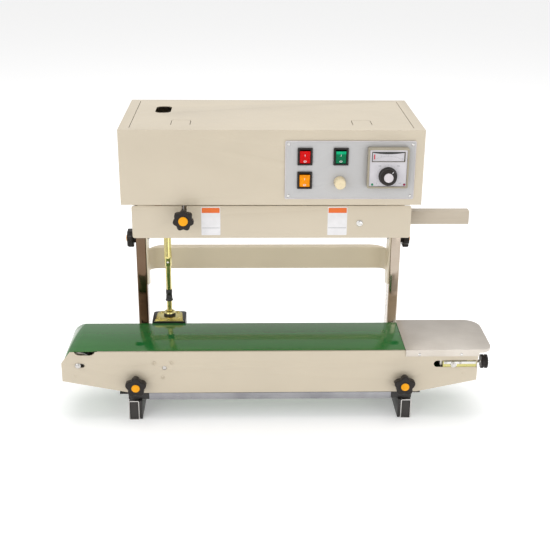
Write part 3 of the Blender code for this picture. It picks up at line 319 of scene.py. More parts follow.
@dataclass(frozen=True)
class Cloth:
    """Coated glass cloth of the sealing bands."""

    name: str
    colour: tuple[float, float, float]

    def build(self) -> bpy.types.Material:
        """Makes the material."""
        board = NodeBoard(self.name, self.colour, 0.42)
        checks = board.tree.nodes.new("ShaderNodeTexBrick")
        checks.inputs["Scale"].default_value = 700.0
        checks.inputs["Color1"].default_value = (*self.colour, 1.0)
        checks.inputs["Color2"].default_value = (*[part * 0.7 for part in self.colour], 1.0)
        checks.inputs["Mortar"].default_value = (*[part * 0.5 for part in self.colour], 1.0)
        turned = board.tree.nodes.new("ShaderNodeMapping")
        turned.inputs["Rotation"].default_value = (math.pi / 2, 0.0, 0.0)
        board.link(board.place, turned.inputs["Vector"])
        board.link(turned.outputs["Vector"], checks.inputs["Vector"])
        board.link(checks.outputs["Color"], board.shader.inputs["Base Color"])
        board.bump(checks.outputs["Fac"], 0.00005, 0.5)
        return board.material


class Look(Enum):
    """The machine's finishes."""

    BEIGE = Enamel("beige_enamel", (0.60, 0.525, 0.405))
    BLACK_PAINT = Enamel("black_enamel", (0.014, 0.012, 0.011), 0.35, 0.00008, 0.1)
    # The same beige paint as BEIGE, painted lighter: painted light that lifts the support frame out of the head's
    # shade.
    SHADE_LIFTED_BEIGE = Enamel("beige_enamel_painted_light", (0.74, 0.65, 0.49))
    DEEP_BEIGE = Enamel("deep_beige_enamel", (0.50, 0.43, 0.335))
    PANEL = Enamel("panel_enamel", (0.50, 0.495, 0.495), 0.42, 0.00002, 0.1)
    CASTING = Enamel("motor_enamel", (0.13, 0.14, 0.15), 0.5, 0.0003, 0.0)
    # Two copies of one chrome: the left post's is painted dark brown and the right post's tan, as painted
    # reflections of dark and of beige surroundings.
    LEFT_POST_SHADED_CHROME = Plate(
        "left_post_chrome_painted_dark_reflection", (0.125, 0.075, 0.045), (0.2, 0.14, 0.095), 0.09, (3.0, 3.0, 0.15), 0.000004, 6.0
    )
    RIGHT_POST_LIT_CHROME = Plate(
        "right_post_chrome_painted_beige_reflection", (0.46, 0.385, 0.31), (0.60, 0.54, 0.47), 0.1, (3.0, 3.0, 0.15), 0.000004, 6.0
    )
    RAIL_CHROME = Plate(
        "rail_chrome", (0.52, 0.50, 0.48), (0.60, 0.58, 0.57), 0.12, (3.0, 0.15, 3.0), 0.000004, 6.0
    )
    STEEL = Plate("satin_steel", (0.56, 0.54, 0.52), (0.64, 0.62, 0.60), 0.3, (0.15, 3.0, 3.0))
    BAR_STEEL = Plate("bar_steel", (0.28, 0.28, 0.30), (0.38, 0.38, 0.40), 0.34, (0.1, 3.0, 3.0), 0.00002)
    # Satin steel tinted beige: a painted reflection of the beige paint round the table.
    TABLE_STEEL_BEIGE_REFLECTION = Plate(
        "table_steel_painted_beige_reflection", (0.62, 0.57, 0.51), (0.68, 0.63, 0.57), 0.38, (0.12, 3.0, 3.0), 0.000012
    )
    SCREW = Plate("screw_steel", (0.66, 0.65, 0.63), (0.78, 0.77, 0.75), 0.2)
    ZINC = Plate("yellow_zinc", (0.66, 0.56, 0.20), (0.80, 0.72, 0.36), 0.2, (1.0, 1.0, 0.3), 0.00001, 60.0)
    OLIVE_ZINC = Plate("olive_zinc", (0.50, 0.47, 0.17), (0.66, 0.60, 0.26), 0.24, (0.3, 1.0, 1.0))
    ALUMINIUM = Plate("machined_aluminium", (0.60, 0.61, 0.62), (0.70, 0.71, 0.72), 0.3)
    BLACK = Moulding("black_moulding", (0.016, 0.012, 0.010), 0.36, 0.00005, 1500.0, 0.0, 0.3)
    PLUG = Moulding("plug_moulding", (0.045, 0.040, 0.038), 0.45, 0.0003, 300.0, 0.0, 0.3)
    RUBBER = Moulding("rubber", (0.03, 0.03, 0.03), 0.7)
    SILICONE = Moulding("silicone_tyre", (0.42, 0.13, 0.06), 0.55)
    CREAM = Moulding("cream_moulding", (0.78, 0.66, 0.43), 0.3, 0.00002, 900.0, 0.3)
    HOUSING = Moulding("controller_moulding", (0.34, 0.30, 0.22), 0.35, 0.00002, 900.0, 0.2)
    YELLOW_CAP = Moulding("yellow_cap", (0.86, 0.36, 0.002), 0.4, 0.00003, 900.0, 0.0, 0.25)
    WHITE_CARD = Moulding("white_card", (0.60, 0.58, 0.61), 0.35, 0.00001, 900.0)
    WHITE_CAP = Moulding("white_cap", (0.62, 0.58, 0.60), 0.3, 0.00001, 900.0, 0.3)
    ORANGE_PRINT = Moulding("orange_print", (0.74, 0.14, 0.01), 0.4, 0.00001)
    GREY_PRINT = Moulding("grey_print", (0.30, 0.30, 0.31), 0.4, 0.00001)
    BLACK_PRINT = Moulding("black_print", (0.03, 0.03, 0.03), 0.4, 0.00001)
    RED_PRINT = Moulding("red_print", (0.62, 0.03, 0.05), 0.4, 0.00001)
    WHITE_PRINT = Moulding("white_print", (0.76, 0.75, 0.76), 0.35, 0.00001)
    GREEN_LAMP = Lens("green_lamp", (0.01, 0.22, 0.10), 0.05)
    RED_LAMP = Lens("red_lamp", (0.25, 0.01, 0.05), 0.05)
    RED_LENS = Lens("red_rocker_lens", (0.55, 0.0005, 0.001), 0.12)
    YELLOW_LENS = Lens("yellow_rocker_lens", (0.78, 0.25, 0.0), 0.14)
    GREEN_LENS = Lens("green_rocker_lens", (0.0, 0.15, 0.06), 0.08)
    PALE_GREEN_LENS = Lens("green_rocker_top", (0.0, 0.36, 0.16), 0.12)
    # The belt's last colour tints its reflections beige, as a painted reflection.
    BELT = BeltCover("green_belting", (0.008, 0.145, 0.03), (0.02, 0.17, 0.04), (1.0, 0.83, 0.55))
    BAND = Cloth("band_cloth", (0.42, 0.27, 0.13))

    def material(self) -> bpy.types.Material:
        """The finish's material, made the first time that it is asked for."""
        return bpy.data.materials.get(self.value.name) or self.value.build()


# ------------------------------------------------------------------ the bench


class Axis(Enum):
    """A direction of the machine, with the turn that lays a drum along it."""

    X = (0, (0.0, math.pi / 2, 0.0))
    Y = (1, (-math.pi / 2, 0.0, 0.0))
    Z = (2, (0.0, 0.0, 0.0))

    @property
    def vector(self) -> Vector:
        """Unit vector along the axis."""
        return Vector([1.0 if place == self.value[0] else 0.0 for place in range(3)])


@dataclass(frozen=True)
class Datum:
    """Where the head's front middle stands on the floor: sizes in millimetres are read from it."""

    x: float
    y: float

    @classmethod
    def of_cover(cls) -> "Datum":
        """Reads the datum from the head cover."""
        low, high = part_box("head_cover")
        return cls((low.x + high.x) / 2, low.y)

    def at(self, across: float, back: float, up: float) -> Vector:
        """A point of the machine.

        Args:
            across: millimetres to the operator's right of the head's middle.
            back: millimetres behind the head's front.
            up: millimetres above the floor.

        Returns:
            The point in metres.
        """
        return Vector((self.x + across * MM, self.y + back * MM, up * MM))


DATUM = Datum.of_cover()
Mesh = bpy.types.Object


class Bench:
    """Operations that shape one mesh at a time."""

    @staticmethod
    def clear() -> None:
        """Deselects everything, in object mode."""
        if bpy.context.mode != "OBJECT":
            bpy.ops.object.mode_set(mode="OBJECT")
        bpy.ops.object.select_all(action="DESELECT")

    @staticmethod
    def take(obj: Mesh) -> Mesh:
        """Selects one object and makes it active."""
        Bench.clear()
        obj.select_set(True)
        bpy.context.view_layer.objects.active = obj
        return obj

    @staticmethod
    def settle(obj: Mesh) -> Mesh:
        """Puts the object's place, turn and scale into its mesh."""
        Bench.take(obj)
        bpy.ops.object.transform_apply(location=True, rotation=True, scale=True)
        return obj

    @staticmethod
    def block(name: str, low: Vector, high: Vector) -> Mesh:
        """A cube stretched between two corners.

        Args:
            name: the object's name.
            low: its lowest corner.
            high: its highest corner.

        Returns:
            The object.
        """
        Bench.clear()
        bpy.ops.mesh.primitive_cube_add(size=1, location=(low + high) / 2)
        obj = bpy.context.object
        obj.name = name
        obj.scale = high - low
        return Bench.settle(obj)

    @staticmethod
    def drum(name: str, axis: Axis, start: Vector, length: float, radius: float, sides: int = 40) -> Mesh:
        """A cylinder along an axis.

        Args:
            name: the object's name.
            axis: the way that it lies.
            start: middle of its first end.
            length: millimetres along the axis, which may be negative.
            radius: millimetres.
            sides: faces around it.

        Returns:
            The object.
        """
        Bench.clear()
        middle = start + axis.vector * length * MM / 2
        bpy.ops.mesh.primitive_cylinder_add(
            vertices=sides,
            radius=radius * MM,
            depth=abs(length) * MM,
            location=middle,
            rotation=axis.value[1],
        )
        obj = bpy.context.object
        obj.name = name
        return Bench.settle(obj)

    @staticmethod
    def prism(name: str, outline: Sequence[Vector], travel: Vector) -> Mesh:
        """A filled ring set to an outline, then extruded.

        Args:
            name: the object's name.
            outline: its corners in order.
            travel: how far and which way it is extruded.

        Returns:
            The object.
        """
        Bench.clear()
        bpy.ops.mesh.primitive_circle_add(vertices=len(outline), radius=1, fill_type="NGON")
        obj = bpy.context.object
        obj.name = name
        for corner, place in zip(obj.data.vertices, outline):
            corner.co = place
        bpy.ops.object.mode_set(mode="EDIT")
        bpy.ops.mesh.select_all(action="SELECT")
        bpy.ops.mesh.extrude_region_move(TRANSFORM_OT_translate={"value": travel})
        bpy.ops.mesh.select_all(action="SELECT")
        bpy.ops.mesh.normals_make_consistent(inside=False)
        bpy.ops.object.mode_set(mode="OBJECT")
        return obj

    @staticmethod
    def turned(
        name: str, axis: Axis, centre: Vector, profile: Sequence[tuple[float, float]], steps: int = 48
    ) -> Mesh:
        """A profile spun about an axis.

        Args:
            name: the object's name.
            axis: the way that its axis lies.
            centre: the point that the profile is read from.
            profile: radius and place along the axis, in millimetres, from axis to axis.
            steps: faces around it.

        Returns:
            The object.
        """
        Bench.clear()
        bpy.ops.mesh.primitive_circle_add(vertices=len(profile), radius=1, fill_type="NOTHING")
        obj = bpy.context.object
        obj.name = name
        side = Vector((0, 0, 1)) if axis is not Axis.Z else Vector((1, 0, 0))
        for corner, (radius, along) in zip(obj.data.vertices, profile):
            corner.co = centre + (side * radius + axis.vector * along) * MM
        bpy.ops.object.mode_set(mode="EDIT")
        if profile[0][0] == 0 and profile[-1][0] == 0:
            Bench.pick_edges(obj, lambda ends: set(ends) == {0, len(profile) - 1}, by_index=True)
            bpy.ops.mesh.delete(type="EDGE_FACE")
        bpy.ops.mesh.select_all(action="SELECT")
        bpy.ops.mesh.spin(steps=steps, angle=math.tau, center=centre, axis=axis.vector)
        bpy.ops.mesh.select_all(action="SELECT")
        bpy.ops.mesh.remove_doubles(threshold=0.000002)
        bpy.ops.mesh.normals_make_consistent(inside=False)
        bpy.ops.object.mode_set(mode="OBJECT")
        return obj

    @staticmethod
    def pick_edges(obj: Mesh, test: Callable, by_index: bool = False) -> None:
        """Selects edges in edit mode.

        Args:
            obj: the object that is being edited.
            test: takes an edge's end indices, or the places of its two ends.
            by_index: whether the test reads indices.
        """
        bpy.ops.mesh.select_mode(type="EDGE")
        bpy.ops.mesh.select_all(action="DESELECT")
        shape = bmesh.from_edit_mesh(obj.data)
        for edge in shape.edges:
            first, second = edge.verts
            given = (first.index, second.index) if by_index else (first.co, second.co)
            if test(given):
                edge.select_set(True)
        bmesh.update_edit_mesh(obj.data)

    @staticmethod
    def apply(obj: Mesh, kind: str, **settings: object) -> Mesh:
        """Adds a modifier, sets it and applies it."""
        Bench.take(obj)
        modifier = obj.modifiers.new(kind.lower(), kind)
        for name, value in settings.items():
            setattr(modifier, name, value)
        bpy.ops.object.modifier_apply(modifier=modifier.name)
        return obj

    @staticmethod
    def soften(obj: Mesh, width: float, segments: int = 2, angle: float = 40.0) -> Mesh:
        """Rounds every edge sharper than an angle.

        Args:
            obj: the mesh.
            width: millimetres.
            segments: faces across each edge.
            angle: degrees.

        Returns:
            The same object.
        """
        return Bench.apply(
            obj,
            "BEVEL",
            width=width * MM,
            segments=segments,
            limit_method="ANGLE",
            angle_limit=math.radians(angle),
            miter_outer="MITER_ARC",
        )

    @staticmethod
    def cut(obj: Mesh, *tools: Mesh) -> Mesh:
        """Takes the tools' shapes out of the mesh and throws the tools away."""
        for tool in tools:
            Bench.apply(obj, "BOOLEAN", object=tool, operation="DIFFERENCE", solver="EXACT")
            bpy.data.objects.remove(tool, do_unlink=True)
        return obj

    @staticmethod
    def weld(obj: Mesh, *others: Mesh) -> Mesh:
        """Unites the meshes into the first one."""
        for other in others:
            Bench.apply(obj, "BOOLEAN", object=other, operation="UNION", solver="EXACT")
            bpy.data.objects.remove(other, do_unlink=True)
        return obj

    @staticmethod
    def join(obj: Mesh, *others: Mesh) -> Mesh:
        """Makes one object of several closed meshes."""
        Bench.take(obj)
        for other in others:
            other.select_set(True)
        bpy.ops.object.join()
        return obj

    @staticmethod
    def smooth(obj: Mesh, angle: float = 35.0) -> Mesh:
        """Shades smooth across edges flatter than an angle, in degrees."""
        Bench.take(obj)
        bpy.ops.object.shade_smooth_by_angle(angle=math.radians(angle))
        return obj

    @staticmethod
    def copied(obj: Mesh, name: str, move: Matrix) -> Mesh:
        """A copy with its own mesh.

        Args:
            obj: what is copied.
            name: the copy's name.
            move: the transform put into its mesh.

        Returns:
            The copy.
        """
        made = obj.copy()
        made.data = obj.data.copy()
        made.name = name
        made.data.transform(move)
        if move.determinant() < 0:
            made.data.flip_normals()
        bpy.context.scene.collection.objects.link(made)
        return made

    @staticmethod
    def from_node(node: str, name: str) -> Mesh:
        """A merged copy of a CAD node, with its flat faces whole again."""
        made = Bench.copied(FRAME["nodes"][node], name, Matrix.Identity(4))
        made.parent = None
        made.matrix_world = Matrix.Identity(4)
        for key in list(made.keys()):
            if key.startswith("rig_"):
                del made[key]
        Bench.take(made)
        if made.data.has_custom_normals:
            bpy.ops.mesh.customdata_custom_splitnormals_clear()
        bpy.ops.object.mode_set(mode="EDIT")
        bpy.ops.mesh.select_all(action="SELECT")
        bpy.ops.mesh.remove_doubles(threshold=0.00001)
        bpy.ops.mesh.dissolve_limited(angle_limit=math.radians(0.5))
        bpy.ops.mesh.select_all(action="SELECT")
        bpy.ops.mesh.normals_make_consistent(inside=False)
        bpy.ops.object.mode_set(mode="OBJECT")
        return made

    @staticmethod
    def hand_in(
        obj: Mesh, look: Look, body: str, slot: str, nodes: Sequence[str] = (), angle: float = 35.0
    ) -> Mesh:
        """Finishes a piece and puts it on the machine.

        Args:
            obj: the mesh.
            look: its finish.
            body: the CAD body that it rides on.
            slot: the record's material slot; not used.
            nodes: the CAD nodes that it stands for.
            angle: edges flatter than this many degrees are shaded smooth.

        Returns:
            The same object.
        """
        Bench.smooth(obj, angle)
        obj.data.materials.clear()
        obj.data.materials.append(look.material())
        obj.data.name = obj.name
        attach(obj, body)
        if nodes:
            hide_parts(*nodes)
        LOG.info("%s on %s in %s", obj.name, body, look.value.name)
        return obj

    @staticmethod
    def dressed(node: str, look: Look, width: float, segments: int = 2, angle: float = 40.0) -> Mesh:
        """Stands a copy of a CAD node with rounded edges in for it.

        Args:
            node: the CAD node.
            look: its finish.
            width: millimetres of rounding.
            segments: faces across each rounded edge.
            angle: edges sharper than this many degrees are rounded.

        Returns:
            The finished piece.
        """
        made = Bench.from_node(node, f"{node}_dressed")
        if width:
            Bench.soften(made, width, segments, angle)
        return Bench.hand_in(made, look, NODE_BODY[node], NODE_SLOT[node], (node,))


def arc_points(
    centre: tuple[float, float], radius: float, start: float, end: float, steps: int
) -> list[tuple[float, float]]:
    """Points along an arc.

    Args:
        centre: its middle.
        radius: its radius.
        start: first angle in degrees.
        end: last angle in degrees.
        steps: pieces between them.

    Returns:
        The points, both ends included.
    """
    turns = [math.radians(start + (end - start) * step / steps) for step in range(steps + 1)]
    return [(centre[0] + radius * math.cos(t), centre[1] + radius * math.sin(t)) for t in turns]


def rounded_box(
    centre: tuple[float, float], size: tuple[float, float], radius: float, steps: int = 5
) -> list[tuple[float, float]]:
    """Outline of a rectangle with round corners.

    Args:
        centre: its middle.
        size: its width and height.
        radius: of its corners.
        steps: pieces in each corner.

    Returns:
        The outline's points.
    """
    half_u, half_v = size[0] / 2 - radius, size[1] / 2 - radius
    points: list[tuple[float, float]] = []
    for side_u, side_v, start in ((1, 1, 0), (-1, 1, 90), (-1, -1, 180), (1, -1, 270)):
        corner = (centre[0] + side_u * half_u, centre[1] + side_v * half_v)
        points += arc_points(corner, radius, start, start + 90, steps)
    return points


def front_plate(
    name: str, outline: Sequence[tuple[float, float]], front: float, back: float
) -> Mesh:
    """A flat piece that faces the operator.

    Args:
        name: the object's name.
        outline: its corners across and up, in millimetres.
        front: how far back its front lies.
        back: how far back its rear lies.

    Returns:
        The object.
    """
    corners = [DATUM.at(across, front, up) for across, up in outline]
    return Bench.prism(name, corners, Vector((0, (back - front) * MM, 0)))


def top_plate(name: str, outline: Sequence[tuple[float, float]], low: float, high: float) -> Mesh:
    """A flat piece that faces up.

    Args:
        name: the object's name.
        outline: its corners across and back, in millimetres.
        low: height of its underside.
        high: height of its top.

    Returns:
        The object.
    """
    corners = [DATUM.at(across, back, low) for across, back in outline]
    return Bench.prism(name, corners, Vector((0, 0, (high - low) * MM)))


# ------------------------------------------------------------------ fasteners


class Drive(Enum):
    """What a screw's head is turned by."""

    SLOT = "slot"
    CROSS = "cross"
    NONE = "none"


@dataclass(frozen=True)
class Screw:
    """A pan-head screw's visible head."""

    radius: float
    height: float
    drive: Drive = Drive.CROSS
    turn: float = 20.0

    def build(self, name: str, place: Vector, axis: Axis, facing: int) -> Mesh:
        """Makes the head.

        Args:
            name: the object's name.
            place: middle of the head's seat.
            axis: the way that it looks.
            facing: 1 or -1 along that axis.

        Returns:
            The object, not yet handed in.
        """
        radius, height = self.radius, self.height
        profile = [
            (0.0, 0.0),
            (radius, 0.0),
            (radius, 0.35 * height),
            (0.86 * radius, 0.72 * height),
            (0.6 * radius, 0.93 * height),
            (0.3 * radius, height),
            (0.0, height),
        ]
        head = Bench.turned(name, axis, place, [(r, facing * h) for r, h in profile], 28)
        if self.drive is Drive.NONE:
            return head
        width = 0.2 * radius
        turns = (self.turn,) if self.drive is Drive.SLOT else (self.turn, self.turn + 90)
        for turn in turns:
            reach = 1.3 * radius if self.drive is Drive.SLOT else 0.6 * radius
            size = Vector((reach, width, height)) * MM
            tool = Bench.block(f"{name}_slot", -size, size)
            spin = Matrix.Rotation(math.radians(turn), 4, "Z")
            aim = axis.vector.to_track_quat("Z", "Y").to_matrix().to_4x4()
            seat = place + axis.vector * facing * 1.5 * height * MM
            tool.data.transform(Matrix.Translation(seat) @ aim @ spin)
            Bench.cut(head, tool)
        return head


@dataclass(frozen=True)
class Nut:
    """A hexagon nut or bolt head with a chamfered face and a washer."""

    across: float
    height: float
    washer: float = 0.0

    def build(self, name: str, place: Vector, axis: Axis, facing: int) -> Mesh:
        """Makes the nut; the arguments are a screw's."""
        start = place
        washer = None
        if self.washer:
            washer = Bench.drum(f"{name}_washer", axis, place, facing * 1.0, self.washer, 36)
            start = place + axis.vector * facing * 1.0 * MM
        radius = self.across / math.sqrt(3)
        nut = Bench.drum(name, axis, start, facing * self.height, radius, 6)
        Bench.soften(nut, 0.35, 2)
        return Bench.join(nut, washer) if washer else nut


# ------------------------------------------------------------------ star knobs


@dataclass(frozen=True)
class StarKnob:
    """A moulded star knob: lobed grip on a hub, a coloured cap and a steel stud."""

    node: str
    axis: Axis
    facing: int
    radius: float
    lobes: int
    stud_length: float
    first_lobe: float = 90.0
    grip_start: float = 7.0
    grip_end: float = 21.0
    hub_radius: float = 9.0
    cap_radius: float = 7.6
    scallop: float = 0.17
    rounding: float = 2.6
    outline_steps: int = 140

    def centre(self) -> Vector:
        """The point on the knob's axis where its hub starts."""
        joint = next(j for j in FRAME["joints"] if j["child"] == self.node)
        return Vector(joint["pos_m"])

    def grip(self) -> Mesh:
        """The grip: a lobed prism along the knob's axis with its end edges rounded."""
        axis, facing, centre = self.axis, self.facing, self.centre()
        first, second = self.cross_axes()
        start = centre + axis.vector * facing * self.grip_start * MM
        outline = []
        for step in range(self.outline_steps):
            angle = math.tau * step / self.outline_steps
            swell = 0.5 + 0.5 * math.cos(self.lobes * (angle - math.radians(self.first_lobe)))
            reach = self.radius * (1 - self.scallop * (1 - swell**0.8))
            outline.append(start + (first * math.cos(angle) + second * math.sin(angle)) * reach * MM)
        depth = axis.vector * facing * (self.grip_end - self.grip_start) * MM
        grip = Bench.prism(f"{self.node}_grip", outline, depth)
        Bench.soften(grip, self.rounding, 5, 50)
        return grip

    def cross_axes(self) -> tuple[Vector, Vector]:
        """The two directions across the knob's axis."""
        if self.axis is Axis.Y:
            return Vector((1, 0, 0)), Vector((0, 0, 1))
        return Vector((0, 1, 0)), Vector((0, 0, 1))

    def build(self) -> None:
        """Makes the grip with its hub, the cap and the stud, and hands them in."""
        axis, facing, centre = self.axis, self.facing, self.centre()
        start, end = self.grip_start, self.grip_end
        profile = [
            (0.0, 0.0),
            (self.hub_radius - 0.6, 0.0),
            (self.hub_radius, 0.6),
            (self.hub_radius + 1.0, start + 1.0),
            (self.hub_radius + 2.5, start + 3.0),
            (self.hub_radius + 2.5, end - 1.5),
            (self.cap_radius + 1.3, end + 0.9),
            (self.cap_radius + 0.5, end + 1.1),
            (self.cap_radius + 0.3, end - 0.5),
            (0.0, end - 0.5),
        ]
        hub = Bench.turned(f"{self.node}_hub", axis, centre, [(r, facing * a) for r, a in profile], 48)
        knob = Bench.weld(self.grip(), hub)
        knob.name = f"{self.node}_grip"
        slot = NODE_SLOT[self.node]
        Bench.hand_in(knob, Look.BLACK, self.node, slot, (self.node,), 40)
        cap_profile = [
            (0.0, end - 0.3),
            (self.cap_radius, end - 0.3),
            (self.cap_radius, end + 1.2),
            (self.cap_radius - 0.5, end + 1.8),
            (self.cap_radius - 2.0, end + 2.3),
            (0.45 * self.cap_radius, end + 2.9),
            (0.0, end + 3.1),
        ]
        cap = Bench.turned(f"{self.node}_cap", axis, centre, [(r, facing * a) for r, a in cap_profile], 40)
        Bench.hand_in(cap, Look.YELLOW_CAP, self.node, slot)
        stud_profile = [(0.0, 0.4), (3.0, 0.4)]
        turns = int(self.stud_length / 1.5)
        for thread in range(turns):
            along = -1.5 * thread
            stud_profile += [(3.0, along - 0.2), (2.55, along - 0.95)]
        stud_profile += [(2.4, -self.stud_length), (0.0, -self.stud_length)]
        stud = Bench.turned(
            f"{self.node}_stud", axis, centre, [(r, facing * a) for r, a in stud_profile], 24
        )
        Bench.hand_in(stud, Look.SCREW, self.node, slot)


# ------------------------------------------------------------------ stand


@dataclass(frozen=True)
class Stand:
    """Two chrome rails with posts, plugs, conveyor brackets and the bar between them."""

    sides: tuple[str, str] = ("left", "right")
    bracket_rounding: float = 0.7

    def build(self) -> None:
        """Dresses the stand's pieces."""
        for side in self.sides:
            Bench.dressed(f"{side}_foot_rail", Look.RAIL_CHROME, 0.3)
            # Each post gets its own copy of the chrome, painted with a dark or a beige reflection.
            Bench.dressed(f"{side}_post", Look.LEFT_POST_SHADED_CHROME if side == "left" else Look.RIGHT_POST_LIT_CHROME, 0.3)
            Bench.dressed(f"{side}_conveyor_bracket", Look.BLACK_PAINT, self.bracket_rounding)
            for end in ("front", "rear"):
                Bench.dressed(f"{side}_{end}_plug", Look.PLUG, 0.8, 3)
        Bench.dressed("base_crossbar", Look.BAR_STEEL, 0.8, 3)
        self.fasten_brackets()

    def fasten_brackets(self) -> None:
        """Bolts each bracket down onto its rail."""
        for side in ("left", "right"):
            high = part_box(f"{side}_conveyor_bracket")[1]
            rail_low, rail_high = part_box(f"{side}_foot_rail")
            place = Vector(((rail_low.x + rail_high.x) / 2, high.y - 40 * MM, 54.6 * MM))
            bolt = Nut(8.0, 3.6, 6.2).build(f"{side}_bracket_bolt", place, Axis.Z, 1)
            Bench.hand_in(bolt, Look.SCREW, "stand", NODE_SLOT["base_crossbar"])


# ------------------------------------------------------------------ conveyor


@dataclass(frozen=True)
class BeltRun:
    """The belt's loop round its rollers, in millimetres from the datum."""

    tail: tuple[float, float, float] = (341.0, 111.8, 25.6)
    head: tuple[float, float, float] = (-356.0, 111.8, 25.6)
    dip: tuple[float, float, float] = (-197.0, 106.4, 27.3)
    thickness: float = 2.0
    front: float = -24.5
    rear: float = 97.5

    def outline(self, offset: float) -> list[tuple[float, float]]:
        """The loop's outline, offset from the rollers.

        Args:
            offset: millimetres outwards.

        Returns:
            Points across and up.
        """
        circles = (self.tail, self.head, self.dip)
        steps = (28, 28, 6)
        normals = []
        for index, (u0, v0, r0) in enumerate(circles):
            u1, v1, r1 = circles[(index + 1) % 3]
            heading = math.atan2(v1 - v0, u1 - u0)
            normals.append(heading - math.pi / 2 + math.asin((r0 - r1) / math.hypot(u1 - u0, v1 - v0)))
        points: list[tuple[float, float]] = []
        for index, (u, v, radius) in enumerate(circles):
            first, last = normals[index - 1], normals[index]
            while last < first:
                last += math.tau
            points += arc_points(
                (u, v), radius + offset, math.degrees(first), math.degrees(last), steps[index]
            )
        return points

    def build(self) -> None:
        """Makes the belt as one closed band with softened edges."""
        belt = front_plate("belt_loop", self.outline(self.thickness), self.front, self.rear)
        inside = front_plate("belt_inside", self.outline(0.0), self.front - 10, self.rear + 10)
        Bench.cut(belt, inside)
        Bench.soften(belt, 0.35, 2, 60)
        Bench.hand_in(belt, Look.BELT, "conveyor", NODE_SLOT["conveyor_belt"], ("conveyor_belt",), 30)


